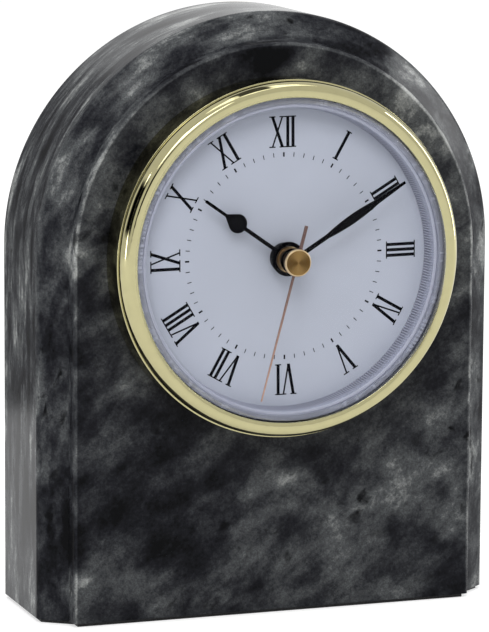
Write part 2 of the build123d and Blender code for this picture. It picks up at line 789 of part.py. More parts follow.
# Rotor: magnet and pinion on one arbor
with BuildPart() as rotor:
    with BuildSketch(lathe(*rotor_place)):
        with BuildLine():
            Polyline(
                (0, bridge_pivot_depth),
                (pivot_radius, bridge_pivot_depth),
                (pivot_radius, bridge_back + running_clearance),
                (arbor_radius, bridge_back + running_clearance),
                (arbor_radius, magnet_depth),
                (magnet_radius, magnet_depth),
                (magnet_radius, magnet_depth + magnet_length),
                (arbor_radius, magnet_depth + magnet_length),
                (arbor_radius, cover_pivot_face - running_clearance),
                (pivot_radius, cover_pivot_face - running_clearance),
                (pivot_radius, cover_pivot_depth),
                (0, cover_pivot_depth),
                close=True,
            )
        make_face()
    revolve(axis=lathe_axis(*rotor_place))
    pinion_plane = facing_at(rotor_place, back_of(fifth_wheel_depth, pinion_thickness))
    extrude(gear_outline(pinion_plane, rotor_teeth, train_module, 0), amount=pinion_thickness)
save(rotor, "rotor")


# A wheel and a pinion on one arbor with a pivot at each end.
def train_wheel(place, front, back, wheel, pinion):
    x, z = place
    with BuildPart() as piece:
        with BuildSketch(lathe(x, z)):
            with BuildLine():
                Polyline(
                    (0, front),
                    (pivot_radius, front),
                    (pivot_radius, front + pivot_length + running_clearance),
                    (arbor_radius, front + pivot_length + running_clearance),
                    (arbor_radius, back - pivot_length - running_clearance),
                    (pivot_radius, back - pivot_length - running_clearance),
                    (pivot_radius, back),
                    (0, back),
                    close=True,
                )
            make_face()
        revolve(axis=lathe_axis(x, z))
        for teeth, module, phase, middle, thickness in (wheel, pinion):
            plane = facing_at(place, back_of(middle, thickness))
            extrude(gear_outline(plane, teeth, module, phase), amount=thickness)
    return piece


fifth_wheel = train_wheel(
    fifth_place,
    bridge_pivot_depth,
    cover_pivot_depth,
    (fifth_teeth, train_module, fifth_phase, fifth_wheel_depth, wheel_thickness),
    (fifth_pinion_teeth, train_module, 0, second_wheel_depth, pinion_thickness),
)
save(fifth_wheel, "fifth_wheel")

third_wheel = train_wheel(
    third_place,
    front_pivot_depth,
    cover_pivot_depth,
    (third_teeth, train_module, third_phase, third_wheel_depth, wheel_thickness),
    (third_pinion_teeth, centre_module, 0, centre_wheel_depth, pinion_thickness),
)
save(third_wheel, "third_wheel")

# Seconds wheel: its long arbor runs through the hand tubes to the second hand
second_arbor_top = dial_depth - second_hand_height - hand_thickness
with BuildPart() as second_wheel:
    with BuildSketch(half_section):
        with BuildLine():
            Polyline(
                (0, second_arbor_top),
                (second_arbor_radius, second_arbor_top),
                (second_arbor_radius, cover_pivot_face - running_clearance),
                (pivot_radius, cover_pivot_face - running_clearance),
                (pivot_radius, cover_pivot_depth),
                (0, cover_pivot_depth),
                close=True,
            )
        make_face()
    revolve(axis=dial_axis)
    wheel_plane = facing(back_of(second_wheel_depth, wheel_thickness))
    extrude(gear_outline(wheel_plane, second_teeth, train_module, second_phase), amount=wheel_thickness)
    pinion_plane = facing(back_of(third_wheel_depth, pinion_thickness))
    extrude(gear_outline(pinion_plane, second_pinion_teeth, train_module, 0), amount=pinion_thickness)
save(second_wheel, "second_wheel")

# Centre wheel: rides on the minute tube, which slips in it when the hands are set
minute_tube_back = back_of(centre_wheel_depth, wheel_thickness) + wheel_thickness
with BuildPart() as centre_wheel:
    wheel_plane = facing(back_of(centre_wheel_depth, wheel_thickness))
    extrude(gear_outline(wheel_plane, centre_teeth, centre_module, centre_phase), amount=wheel_thickness)
    with BuildSketch(facing(minute_tube_back)):
        Circle(minute_tube_radius + running_clearance + wheel_hub_radius)
    extrude(amount=wheel_thickness)
    with BuildSketch(facing(minute_tube_back + overrun)):
        Circle(minute_tube_radius + running_clearance)
    extrude(amount=wheel_thickness * 2 + overrun * 2, mode=Mode.SUBTRACT)
save(centre_wheel, "centre_wheel")

# Minute tube: the cannon pinion at its foot drives the motion work
minute_tube_front = dial_depth - minute_tube_top
second_bore = second_arbor_radius + running_clearance
with BuildPart() as cannon_pinion:
    with BuildSketch(facing(minute_tube_back)):
        Circle(minute_tube_radius)
    extrude(amount=minute_tube_back - minute_tube_front)
    pinion_plane = facing(back_of(minute_wheel_depth, pinion_thickness))
    extrude(gear_outline(pinion_plane, cannon_teeth, setting_module, 0), amount=pinion_thickness)
    with BuildSketch(facing(minute_tube_back + overrun)):
        Circle(second_bore)
    extrude(amount=minute_tube_back + overrun - minute_tube_front + overrun, mode=Mode.SUBTRACT)
save(cannon_pinion, "cannon_pinion")

# Minute wheel: between the cannon pinion and the hour wheel
minute_wheel_back = back_of(minute_wheel_depth, pinion_thickness)
hour_wheel_back = back_of(hour_wheel_depth, wheel_thickness)
with BuildPart() as minute_wheel:
    with BuildSketch(lathe(*minute_place)):
        with BuildLine():
            Polyline(
                (0, front_pivot_depth),
                (pivot_radius, front_pivot_depth),
                (pivot_radius, chamber_front + running_clearance),
                (arbor_radius, chamber_front + running_clearance),
                (arbor_radius, minute_wheel_back),
                (0, minute_wheel_back),
                close=True,
            )
        make_face()
    revolve(axis=lathe_axis(*minute_place))
    wheel_plane = facing_at(minute_place, back_of(minute_wheel_depth, wheel_thickness))
    extrude(gear_outline(wheel_plane, minute_teeth, setting_module, minute_phase), amount=wheel_thickness)
    pinion_plane = facing_at(minute_place, hour_wheel_back)
    extrude(gear_outline(pinion_plane, minute_pinion_teeth, hour_module, 0), amount=wheel_thickness)
save(minute_wheel, "minute_wheel")

# Hour wheel and its tube, which turns in the boss
hour_tube_front = dial_depth - hour_tube_top
hour_bore = minute_tube_radius + running_clearance
with BuildPart() as hour_wheel:
    wheel_plane = facing(hour_wheel_back)
    extrude(gear_outline(wheel_plane, hour_teeth, hour_module, hour_phase), amount=wheel_thickness)
    with BuildSketch(facing(hour_wheel_back)):
        Circle(hour_tube_radius)
    extrude(amount=hour_wheel_back - hour_tube_front)
    with BuildSketch(facing(hour_wheel_back + overrun)):
        Circle(hour_bore)
    extrude(amount=hour_wheel_back + overrun - hour_tube_front + overrun, mode=Mode.SUBTRACT)
save(hour_wheel, "hour_wheel")

# Setting knob: grooved rim, arbor through the cover and a pinion on the minute wheel
knob_front = movement_back_depth + knob_gap
knob_face = knob_front + knob_thickness
knob_arbor_front = minute_wheel_depth - pinion_thickness / 2
with BuildPart() as setting_knob:
    with BuildSketch(facing_at(knob_place, knob_face)):
        Circle(knob_radius)
        with PolarLocations(knob_radius, knob_grooves):
            Circle(knob_groove_radius, mode=Mode.SUBTRACT)
    extrude(amount=knob_thickness)
    with BuildSketch(facing_at(knob_place, knob_front)):
        Circle(knob_arbor_radius)
    extrude(amount=knob_front - knob_arbor_front)
    pinion_plane = facing_at(knob_place, minute_wheel_back)
    extrude(gear_outline(pinion_plane, knob_teeth, setting_module, knob_phase), amount=pinion_thickness)
    with BuildSketch(facing_at(knob_place, knob_arbor_front)):
        Circle(pivot_radius)
    extrude(amount=knob_arbor_front - front_pivot_depth)
save(setting_knob, "setting_knob")

# Coil: core through a moulded bobbin, with the winding between its flanges
core_depth = stator_depth - core_thickness / 2
coil_centre_x = rotor_place[0] - coil_shift
coil_plane = along_x(coil_centre_x, core_depth, coil_z)
half_coil = coil_length / 2
core_length = coil_length + stator_leg_width * 2
with BuildPart() as coil_core:
    with BuildSketch(coil_plane.offset(-core_length / 2)):
        Rectangle(core_thickness, core_width)
    extrude(amount=core_length)
save(coil_core, "coil_core")

with BuildPart() as coil_bobbin:
    with BuildSketch(coil_plane.offset(-half_coil)):
        Circle(bobbin_tube_radius)
    extrude(amount=coil_length)
    for end in (-half_coil, half_coil - bobbin_flange):
        with BuildSketch(coil_plane.offset(end)):
            Circle(coil_radius)
        extrude(amount=bobbin_flange)
    with BuildSketch(coil_plane.offset(-half_coil - overrun)):
        Rectangle(core_thickness + core_clearance, core_width + core_clearance)
    extrude(amount=coil_length + overrun * 2, mode=Mode.SUBTRACT)
save(coil_bobbin, "coil_bobbin")

with BuildPart() as coil_winding:
    with BuildSketch(coil_plane.offset(-half_coil + bobbin_flange + seat_clearance)):
        Circle(winding_radius)
        Circle(bobbin_tube_radius + seat_clearance, mode=Mode.SUBTRACT)
    extrude(amount=coil_length - (bobbin_flange + seat_clearance) * 2)
save(coil_winding, "coil_winding")

# Stator: a flat iron plate from one end of the core to the other, round the rotor, with a
# notch above and one below that leave thin necks of iron
left_leg_x = coil_centre_x - half_coil - stator_leg_width / 2
right_leg_x = coil_centre_x + half_coil + stator_leg_width / 2
bar_top = coil_z - coil_radius - core_clearance
leg_height = coil_z + core_width / 2 - bar_top + stator_bar_width
bar_length = right_leg_x - left_leg_x + stator_leg_width
head_height = bar_top - rotor_place[1] + stator_head
hole_radius = magnet_radius + magnet_gap
low_notch_radius = stator_head - hole_radius - stator_neck
high_notch_radius = bar_top - rotor_place[1] - hole_radius - stator_neck
with BuildPart() as stator:
    with BuildSketch(facing(stator_depth + stator_thickness)) as stator_face:
        for leg_x in (left_leg_x, right_leg_x):
            with Locations((leg_x, coil_z + core_width / 2)):
                Rectangle(stator_leg_width, leg_height, align=(Align.CENTER, Align.MAX))
        with Locations((left_leg_x - stator_leg_width / 2, bar_top)):
            Rectangle(bar_length, stator_bar_width, align=(Align.MIN, Align.MAX))
        with Locations((rotor_place[0], bar_top)):
            Rectangle(stator_head * 2, head_height, align=(Align.CENTER, Align.MAX))
        fillet(stator_face.vertices().group_by(Axis.Y)[0], radius=stator_corner_radius)
        with Locations(rotor_place):
            Circle(hole_radius, mode=Mode.SUBTRACT)
        with Locations((rotor_place[0], rotor_place[1] - stator_head)):
            Circle(low_notch_radius, mode=Mode.SUBTRACT)
        with Locations((rotor_place[0], bar_top)):
            Circle(high_notch_radius, mode=Mode.SUBTRACT)
    extrude(amount=stator_thickness)
save(stator, "stator")

# Circuit board on the bridge, with its crystal and chip
board_x = half_inside - board_gap - board_width / 2
board_low = divider_top + bridge_side_gap
with BuildPart() as circuit_board:
    with BuildSketch(facing(board_face)):
        with Locations((board_x, board_low + board_height / 2)):
            Rectangle(board_width, board_height)
    extrude(amount=board_thickness)
save(circuit_board, "circuit_board")

crystal_z = dial_z + board_low + crystal_rise
crystal_plane = Plane(origin=(board_x, panel_y + board_face + crystal_radius, crystal_z), z_dir=(0, 0, 1))
with BuildPart() as crystal_can:
    with BuildSketch(crystal_plane.offset(-crystal_length / 2)):
        Circle(crystal_radius)
    extrude(amount=crystal_length)
save(crystal_can, "crystal_can")

with BuildPart() as chip_cap:
    with BuildSketch(facing_at((board_x, board_low + chip_rise), board_face + chip_height)):
        Circle(chip_radius)
    extrude(amount=chip_height)
    fillet(chip_cap.edges().group_by(Axis.Y)[-1], radius=chip_height / 2)
save(chip_cap, "chip_cap")

# Battery, lying along the bay, its nub to the right
battery_depth = chamber_front + drop_in_clearance + battery_radius
battery_plane = along_x(0, battery_depth, bay_centre_z)
with BuildPart() as battery:
    with BuildSketch(battery_plane.offset(-battery_length / 2)):
        Circle(battery_radius)
    extrude(amount=battery_length - battery_nub_length)
    fillet(battery.edges().filter_by(GeomType.CIRCLE), radius=battery_edge_radius)
    with BuildSketch(battery_plane.offset(battery_length / 2 - battery_nub_length)):
        Circle(battery_nub_radius)
    extrude(amount=battery_nub_length)
save(battery, "battery")

# Plus contact: a strip at the nub that runs up onto the board
strip_top = board_low + contact_reach
strip_low = bay_centre_z - battery_nub_radius
with BuildPart() as plus_contact:
    with BuildSketch(facing(board_face + contact_width)):
        with Locations((battery_length / 2 + seat_clearance, strip_low)):
            Rectangle(contact_thickness, strip_top - strip_low, align=(Align.MIN, Align.MIN))
    extrude(amount=contact_width)
save(plus_contact, "plus_contact")

# Minus contact: a plate with a sprung cone at the battery's foot, and its lead to the board
plate_x = -half_inside + contact_thickness / 2
lead_z = divider_top + contact_thickness / 2 + seat_clearance
spring_length = half_inside - contact_thickness - battery_length / 2 - running_clearance
plate_middle = along_x(-half_inside + contact_thickness, battery_depth, bay_centre_z)
lead_height = lead_z - bay_centre_z + contact_thickness / 2
lead_end = board_x - board_width / 2 + contact_reach
with BuildPart() as minus_contact:
    with BuildSketch(facing(battery_depth + plate_depth / 2)):
        with Locations((plate_x, bay_centre_z)):
            Rectangle(contact_thickness, plate_height)
    extrude(amount=plate_depth)
    with BuildSketch(facing(board_face + lead_width)):
        with Locations((plate_x, bay_centre_z)):
            Rectangle(contact_thickness, lead_height, align=bottom_middle)
        with Locations((-half_inside, lead_z)):
            Rectangle(half_inside + lead_end, contact_thickness, align=(Align.MIN, Align.CENTER))
    extrude(amount=lead_width)
    with BuildSketch(plate_middle):
        Circle(spring_foot_radius)
    with BuildSketch(plate_middle.offset(spring_length)):
        Circle(spring_tip_radius)
    loft()
save(minus_contact, "minus_contact")


# Plane on which a hand is drawn pointing up, turned clockwise to where it points.
def hand_plane(back_height, clockwise):
    turn = radians(clockwise)
    middle = (0, panel_y + dial_depth - back_height, dial_z)
    return Plane(origin=middle, x_dir=(cos(turn), 0, -sin(turn)), z_dir=(0, -1, 0))


# Hour hand: a stick with a disc that runs out into the point, on a round hub
neck_half_width = hour_disc_radius * cos(radians(hour_neck_angle))
neck_start = hour_disc_place + hour_disc_radius * sin(radians(hour_neck_angle))
neck_end = hour_disc_place + hour_disc_radius + hour_neck_length
with BuildPart() as hour_hand:
    with BuildSketch(hand_plane(hour_hand_height, hour_angle)):
        Circle(hour_hub_radius)
        Rectangle(hour_width, hour_disc_place, align=bottom_middle)
        Rectangle(hour_point_width, hour_length - hour_point_width / 2, align=bottom_middle)
        with Locations((0, hour_length - hour_point_width / 2)):
            Circle(hour_point_width / 2)
        with Locations((0, hour_disc_place)):
            Circle(hour_disc_radius)
        with BuildLine():
            Polyline(
                (-neck_half_width, neck_start),
                (-hour_point_width / 2, neck_end),
                (hour_point_width / 2, neck_end),
                (neck_half_width, neck_start),
                close=True,
            )
        make_face()
        Circle(hour_bush_radius + seat_clearance, mode=Mode.SUBTRACT)
    extrude(amount=hand_thickness)
save(hour_hand, "hour_hand")

# Minute hand: a lance, widest past its middle, with a blunt tip
with BuildPart() as minute_hand:
    with BuildSketch(hand_plane(minute_hand_height, minute_angle)):
        with BuildLine():
            waist = (minute_root_width / 2, minute_waist_place)
            neck = (minute_neck_width / 2, minute_neck_place)
            tip = (minute_tip_width / 2, minute_length)
            root_edge = Line((minute_root_width / 2, 0), waist)
            belly_edge = Spline(waist, (minute_belly_width / 2, minute_belly_place), neck)
            point_edge = Line(neck, tip)
            mirror([root_edge, belly_edge, point_edge], about=Plane.YZ)
            Line((-minute_tip_width / 2, minute_length), (minute_tip_width / 2, minute_length))
            Line((-minute_root_width / 2, 0), (minute_root_width / 2, 0))
        make_face()
        Circle(minute_hub_radius)
        Circle(minute_bush_radius + seat_clearance, mode=Mode.SUBTRACT)
    extrude(amount=hand_thickness)
save(minute_hand, "minute_hand")

# Second hand: a needle with a wider tail, on a short pipe
with BuildPart() as second_hand:
    with BuildSketch(hand_plane(second_hand_height, second_angle)):
        with BuildLine():
            Polyline(
                (-second_tip_width / 2, second_length),
                (second_tip_width / 2, second_length),
                (second_root_width / 2, 0),
                (second_tail_width / 2, 0),
                (second_tail_width / 2, -second_tail_length),
                (-second_tail_width / 2, -second_tail_length),
                (-second_tail_width / 2, 0),
                (-second_root_width / 2, 0),
                close=True,
            )
        make_face()
        Circle(second_hub_radius)
    extrude(amount=hand_thickness)
    with BuildSketch(facing(dial_depth - second_hand_height + second_pipe_length)):
        Circle(second_pipe_radius)
    extrude(amount=second_pipe_length)
    with BuildSketch(facing(dial_depth - second_hand_height + second_pipe_length + overrun)):
        Circle(second_arbor_radius + seat_clearance)
    extrude(amount=second_pipe_length + hand_thickness + overrun * 2, mode=Mode.SUBTRACT)
save(second_hand, "second_hand")


# Brass bush that is pushed onto a hand tube: a barrel through the hand and a flange on it.
def hand_bush(tube_radius, barrel_radius, flange_radius, flange, hand_height, back_height, front_height):
    flange_height = hand_height + hand_thickness
    with BuildPart() as bush:
        with BuildSketch(half_section):
            with BuildLine():
                Polyline(
                    (tube_radius + seat_clearance, dial_depth - back_height),
                    (barrel_radius, dial_depth - back_height),
                    (barrel_radius, dial_depth - flange_height),
                    (flange_radius, dial_depth - flange_height),
                    (flange_radius, dial_depth - flange_height - flange),
                    (barrel_radius, dial_depth - flange_height - flange),
                    (barrel_radius, dial_depth - front_height),
                    (tube_radius + seat_clearance, dial_depth - front_height),
                    close=True,
                )
            make_face()
        revolve(axis=dial_axis)
    return bush


hour_bush = hand_bush(
    hour_tube_radius,
    hour_bush_radius,
    hour_bush_flange_radius,
    hour_bush_flange,
    hour_hand_height,
    hour_hand_height - hand_thickness,
    hour_tube_top,
)
save(hour_bush, "hour_bush")
minute_bush = hand_bush(
    minute_tube_radius,
    minute_bush_radius,
    minute_bush_flange_radius,
    minute_bush_flange,
    minute_hand_height,
    minute_hand_height - hand_thickness,
    minute_tube_top,
)
save(minute_bush, "minute_bush")

# Brass cap on the second hand
with BuildPart() as hub_cap:
    with BuildSketch(facing(second_arbor_top)):
        Circle(cap_radius)
    extrude(amount=cap_height)
    fillet(hub_cap.edges().group_by(Axis.Y)[0], radius=cap_edge_radius)
save(hub_cap, "hub_cap")
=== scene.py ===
import bpy
import json
from math import cos, pi, radians, sin
from mathutils import Matrix, Vector


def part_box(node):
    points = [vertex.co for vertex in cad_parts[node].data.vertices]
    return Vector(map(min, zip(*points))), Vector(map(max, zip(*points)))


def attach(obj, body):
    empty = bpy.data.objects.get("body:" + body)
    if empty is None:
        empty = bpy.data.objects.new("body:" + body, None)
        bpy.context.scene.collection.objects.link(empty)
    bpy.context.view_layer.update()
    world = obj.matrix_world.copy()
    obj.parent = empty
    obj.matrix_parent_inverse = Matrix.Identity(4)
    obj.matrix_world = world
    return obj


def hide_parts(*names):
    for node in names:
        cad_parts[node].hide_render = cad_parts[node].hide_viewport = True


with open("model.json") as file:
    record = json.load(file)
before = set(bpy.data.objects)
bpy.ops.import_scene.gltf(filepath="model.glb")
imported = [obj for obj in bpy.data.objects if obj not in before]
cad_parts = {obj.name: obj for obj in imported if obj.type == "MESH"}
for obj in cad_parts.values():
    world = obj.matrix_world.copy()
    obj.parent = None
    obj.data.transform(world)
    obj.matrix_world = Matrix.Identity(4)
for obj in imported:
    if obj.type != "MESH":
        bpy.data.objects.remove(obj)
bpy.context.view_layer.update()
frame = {"nodes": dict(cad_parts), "record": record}
nodes = frame["nodes"]
mm = 0.001
near = 1e-6                  # metres within which two places count as one
print("frame loaded")

# Places that everything is set from: the panel's face, the hands' axis and the dial's face
caseLow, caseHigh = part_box("marble_case")
bezelLow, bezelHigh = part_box("bezel")
capLow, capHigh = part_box("hub_cap")
panelY = caseLow[1]
dialZ = (bezelLow[2] + bezelHigh[2]) / 2
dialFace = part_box("dial")[0][1]
axisPoint = Vector((0, panelY, dialZ))


# Small helpers for working by hand
def deselectAll():
    if bpy.context.object and bpy.context.object.mode != "OBJECT":
        bpy.ops.object.mode_set(mode="OBJECT")
    bpy.ops.object.select_all(action="DESELECT")


def pick(piece):
    deselectAll()
    piece.select_set(True)
    bpy.context.view_layer.objects.active = piece


def editMode(selectMode="VERT"):
    bpy.ops.object.mode_set(mode="EDIT")
    bpy.ops.mesh.select_mode(type=selectMode)


def objectMode():
    bpy.ops.object.mode_set(mode="OBJECT")


def selectWhere(piece, test, kind="VERT"):  # by vertices, both ends of edges or middles of faces
    editMode(kind)
    bpy.ops.mesh.select_all(action="DESELECT")
    objectMode()
    mesh = piece.data
    if kind == "VERT":
        for vertex in mesh.vertices:
            vertex.select = bool(test(vertex.co))
    elif kind == "EDGE":
        for edge in mesh.edges:
            ends = [mesh.vertices[i].co for i in edge.vertices]
            edge.select = bool(test(ends[0]) and test(ends[1]))
    else:
        for face in mesh.polygons:
            face.select = bool(test(face.center))
    editMode(kind)


def applyModifier(piece, kind, **settings):
    pick(piece)
    modifier = piece.modifiers.new(kind.lower(), kind)
    for key, value in settings.items():
        setattr(modifier, key, value)
    bpy.ops.object.modifier_apply(modifier=modifier.name)


def smooth(piece, angle, weighted=False):
    pick(piece)
    bpy.ops.object.shade_smooth_by_angle(angle=radians(angle))
    if weighted:
        applyModifier(piece, "WEIGHTED_NORMAL", weight=90, keep_sharp=True)


def cleanUp(piece, distance=near):
    pick(piece)
    editMode()
    bpy.ops.mesh.select_all(action="SELECT")
    bpy.ops.mesh.remove_doubles(threshold=distance)
    bpy.ops.mesh.normals_make_consistent(inside=False)
    objectMode()


def finishPiece(piece, name, body, slotName, material, *replaced):
    pick(piece)
    bpy.ops.object.transform_apply(location=True, rotation=True, scale=True)
    piece.name = name
    piece.data.name = name
    piece.data.materials.clear()
    piece.data.materials.append(material)
    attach(piece, body)
    if replaced:
        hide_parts(*replaced)


def same(first, second):
    return abs(first - second) < near


def axisDistance(co):
    return (co.x**2 + (co.z - dialZ) ** 2) ** 0.5


# A piece turned on the lathe: a ring of vertices round the hands' axis is drawn out step by
# step through (radius, depth behind the panel). Closed, it ends where it began. Otherwise the
# small rings at its two ends are each drawn together on the axis
def turned(rings, segments, closed=True):
    deselectAll()
    start = axisPoint + Vector((0, rings[0][1] * mm, 0))
    bpy.ops.mesh.primitive_circle_add(
        vertices=segments, radius=rings[0][0] * mm, location=start, rotation=(pi / 2, 0, 0)
    )
    piece = bpy.context.object
    bpy.ops.object.transform_apply(location=True, rotation=True)
    editMode("EDGE")
    bpy.ops.mesh.select_all(action="SELECT")
    path = rings[1:] + (rings[:1] if closed else [])
    lastRadius, lastDepth = rings[0]
    for radius, depth in path:
        step = Vector((0, (depth - lastDepth) * mm, 0))
        bpy.ops.mesh.extrude_edges_move(TRANSFORM_OT_translate={"value": step})
        ratio = radius / lastRadius
        if ratio != 1:
            centre = axisPoint + Vector((0, depth * mm, 0))
            bpy.ops.transform.resize(value=(ratio, 1, ratio), center_override=centre)
        lastRadius, lastDepth = radius, depth
    objectMode()
    if not closed:
        for radius, depth in (rings[0], rings[-1]):
            end = axisPoint.y + depth * mm
            selectWhere(piece, lambda co: same(co.y, end) and axisDistance(co) < radius * mm + near)
            bpy.ops.mesh.merge(type="CENTER")
            objectMode()
    cleanUp(piece)
    return piece


def arcRings(centre, radii, startAngle, endAngle, steps):  # 0 degrees points outwards, 90 at the viewer
    points = []
    for i in range(steps + 1):
        turn = radians(startAngle + (endAngle - startAngle) * i / steps)
        points.append((centre[0] + radii[0] * cos(turn), centre[1] - radii[1] * sin(turn)))
    return points


# Small helpers for material nodes
def newMaterial(name):
    material = bpy.data.materials.new(name)
    material.use_nodes = True
    tree = material.node_tree
    return material, tree, tree.nodes["Principled BSDF"]


def place(tree, kind, inputs=None, **settings):
    node = tree.nodes.new(kind)
    for key, value in settings.items():
        setattr(node, key, value)
    for key, value in (inputs or {}).items():
        node.inputs[key].default_value = value
    return node


def objectPlace(tree):
    return place(tree, "ShaderNodeTexCoord").outputs["Object"]


def mapped(tree, scale=(1, 1, 1), rotation=(0, 0, 0), location=(0, 0, 0), source=None):
    inputs = {"Scale": scale, "Rotation": rotation, "Location": location}
    mapping = place(tree, "ShaderNodeMapping", inputs)
    tree.links.new(source or objectPlace(tree), mapping.inputs["Vector"])
    return mapping.outputs["Vector"]


def ramp(tree, source, stops):
    node = place(tree, "ShaderNodeValToRGB")
    elements = node.color_ramp.elements
    while len(elements) < len(stops):
        elements.new(0.5)
    for element, (position, colour) in zip(elements, stops):
        element.position = position
        element.color = (*colour, 1)
    tree.links.new(source, node.inputs["Fac"])
    return node.outputs["Color"]


def grey(value):
    return (value, value, value)


def scaled(colour, factor):
    return tuple(channel * factor for channel in colour)


def noise(tree, vector, scale, detail, roughness, distortion=0.0):
    inputs = {"Scale": scale, "Detail": detail, "Roughness": roughness, "Distortion": distortion}
    node = place(tree, "ShaderNodeTexNoise", inputs)
    tree.links.new(vector, node.inputs["Vector"])
    return node.outputs["Fac"]


def calculate(tree, operation, *values):
    node = place(tree, "ShaderNodeMath", operation=operation)
    for socket, value in zip(node.inputs, values):
        if isinstance(value, bpy.types.NodeSocket):
            tree.links.new(value, socket)
        else:
            socket.default_value = value
    return node.outputs[0]


def swingAbout(tree, value, share):  # a noise's 0 to 1 made to swing to both sides of nothing
    return calculate(tree, "MULTIPLY_ADD", value, share, -share / 2)


def coordinate(tree, axis):  # how far along X, Y or Z, in metres
    parts = place(tree, "ShaderNodeSeparateXYZ")
    tree.links.new(objectPlace(tree), parts.inputs["Vector"])
    return parts.outputs[axis]


def fromAxis(tree):  # distance from the hands' axis, in metres
    centred = mapped(tree, scale=(1, 0, 1), location=(0, 0, -dialZ))
    away = place(tree, "ShaderNodeVectorMath", operation="LENGTH")
    tree.links.new(centred, away.inputs[0])
    return away.outputs["Value"]


def aroundAxis(tree, times):  # a wave that goes round the hands' axis, from -1 to 1
    parts = place(tree, "ShaderNodeSeparateXYZ")
    tree.links.new(mapped(tree, location=(0, 0, -dialZ)), parts.inputs["Vector"])
    around = calculate(tree, "ARCTAN2", parts.outputs["Z"], parts.outputs["X"])
    return calculate(tree, "COSINE", calculate(tree, "MULTIPLY", around, times))


def mixColour(tree, factor, first, second, blend="MIX"):
    node = place(tree, "ShaderNodeMix", data_type="RGBA", blend_type=blend)
    for socket, value in (("Factor", factor), ("A", first), ("B", second)):
        target = [s for s in node.inputs if s.name == socket and s.enabled][0]
        if isinstance(value, bpy.types.NodeSocket):
            tree.links.new(value, target)
        elif isinstance(value, (int, float)):
            target.default_value = value
        else:
            target.default_value = (*value, 1)
    return [s for s in node.outputs if s.enabled][0]


def bump(tree, shader, height, strength, distance):
    node = place(tree, "ShaderNodeBump", {"Strength": strength, "Distance": distance * mm})
    tree.links.new(height, node.inputs["Height"])
    tree.links.new(node.outputs["Normal"], shader.inputs["Normal"])


def showMix(tree, share, first, second):  # the surface goes from the first shader to the second
    mixer = place(tree, "ShaderNodeMixShader")
    tree.links.new(share, mixer.inputs["Fac"])
    tree.links.new(first, mixer.inputs[1])
    tree.links.new(second, mixer.inputs[2])
    tree.links.new(mixer.outputs["Shader"], tree.nodes["Material Output"].inputs["Surface"])


# Polished dark marble: soft pale clouds drawn out along a slant, fine crystals and short black
# veins. The stone changes fastest from front to back, so its layers show as streaks on the side
marbleLook = {
    "slant": 38.0,           # degrees that the clouds climb to the right
    "stretch": 0.66,         # how drawn out they are along the slant
    "layering": 2.4,         # how much faster the stone changes from front to back
    "layerBreadth": 0.34,    # and how fast its layers change sideways and upwards
    "layersFrom": (2, 12),   # depths behind the panel between which the layers come in
    "layerContrast": 1.1,    # how strongly they show
    "layerMiddle": 0.45,     # their noise swings about this
    "cloudNoise": (92, 5, 0.56, 0.2),  # each noise has a scale, detail, roughness and distortion
    "smallNoise": (300, 4, 0.55, 0.2),
    "layerNoise": (85, 4, 0.55, 0.3),
    "crystalNoise": (1100, 3, 0.7),
    "grainNoise": (2600, 2, 0.6),
    "veinNoise": (210, 3, 0.5, 0.5),
    "veinPlaces": (60, 2, 0.5),
    "smallShare": 0.3,
    "crystalShare": 0.26,
    "tones": [               # how light the stone is, and its colour there
        (0.26, (0.0008, 0.0010, 0.0016)),
        (0.39, (0.0085, 0.0090, 0.0118)),
        (0.5, (0.024, 0.0255, 0.029)),
        (0.66, (0.072, 0.076, 0.079)),
        (0.92, (0.38, 0.39, 0.38)),
    ],
    "vein": (0.0008, 0.0010, 0.0016),
    "roughness": 0.15,
    "shine": 0.06,
    "edgeRadius": 52.9,      # the panel's rounded edge, where the painted highlight is brightest, from the middle line or the arch's centre
    "edgeSpread": 0.5,
    "edgeDepth": 1.0,        # it ends this far behind the panel's face
    "edgeHighlight": 0.22,        # and is this much paler
    "wander": (70, 3),       # scale and detail of the noise that bends the clouds' outlines
    "wanderReach": 30.0,
    "clouds": [              # side, depth behind the panel, height, spread and how much lighter
        (9, 0, 138, 10, 0.14),
        (-2, 0, 143, 10, -0.28),
        (24, 0, 146, 10, -0.16),
        (-39, 0, 130, 14, 0.14),
        (-47, 0, 111, 12, 0.14),
        (-52, 0, 97, 13, 0.2),
        (-45, 0, 84, 9, -0.12),
        (-50, 0, 66, 12, -0.12),
        (-24, 0, 60, 17, -0.14),
        (-39, 0, 61, 9, 0.1),
        (-36, 0, 30, 26, -0.2),
        (-2, 0, 36, 13, 0.05),
        (12, 0, 37, 8, -0.14),
        (33, 0, 19, 8, -0.24),
        (42, 0, 32, 24, 0.16),
        (20, 0, 20, 16, 0.12),
        (44, 0, 60, 10, -0.1),
        (-51, 0, 10, 9, 0.14),
        (-17, 0, 7, 7, 0.14),
        (-8, 0, 9, 6, -0.14),
        (38, 0, 132, 13, 0.12),
        (50, 0, 116, 13, 0.16),
        (54, 0, 58, 14, 0.16),
        (55, 0, 92, 18, 0.22),
        (-57, 6, 76, 13, -0.16),
        (-58, 6, 30, 18, -0.16),
        (-4, 7, 152, 15, 0.2),
        (28, 7, 146, 12, -0.14),
        (40, 7, 137, 9, 0.16),
        (-61, 22, 95, 26, -0.05),
        (-61, 18, 28, 32, -0.12),
    ],
}


def stoneLayers(tree, look, flat):  # the layers' noise, and how far they have come in behind the panel
    breadth = look["layerBreadth"]
    layered = mapped(tree, scale=(breadth, look["layering"], breadth), source=flat)
    swing = calculate(tree, "SUBTRACT", noise(tree, layered, *look["layerNoise"]), look["layerMiddle"])
    first, last = [panelY + depth * mm for depth in look["layersFrom"]]
    behind = place(tree, "ShaderNodeMapRange", {"From Min": first, "From Max": last})
    behind.inputs["To Max"].default_value = look["layerContrast"]
    tree.links.new(coordinate(tree, "Y"), behind.inputs["Value"])
    return swing, behind.outputs["Result"]


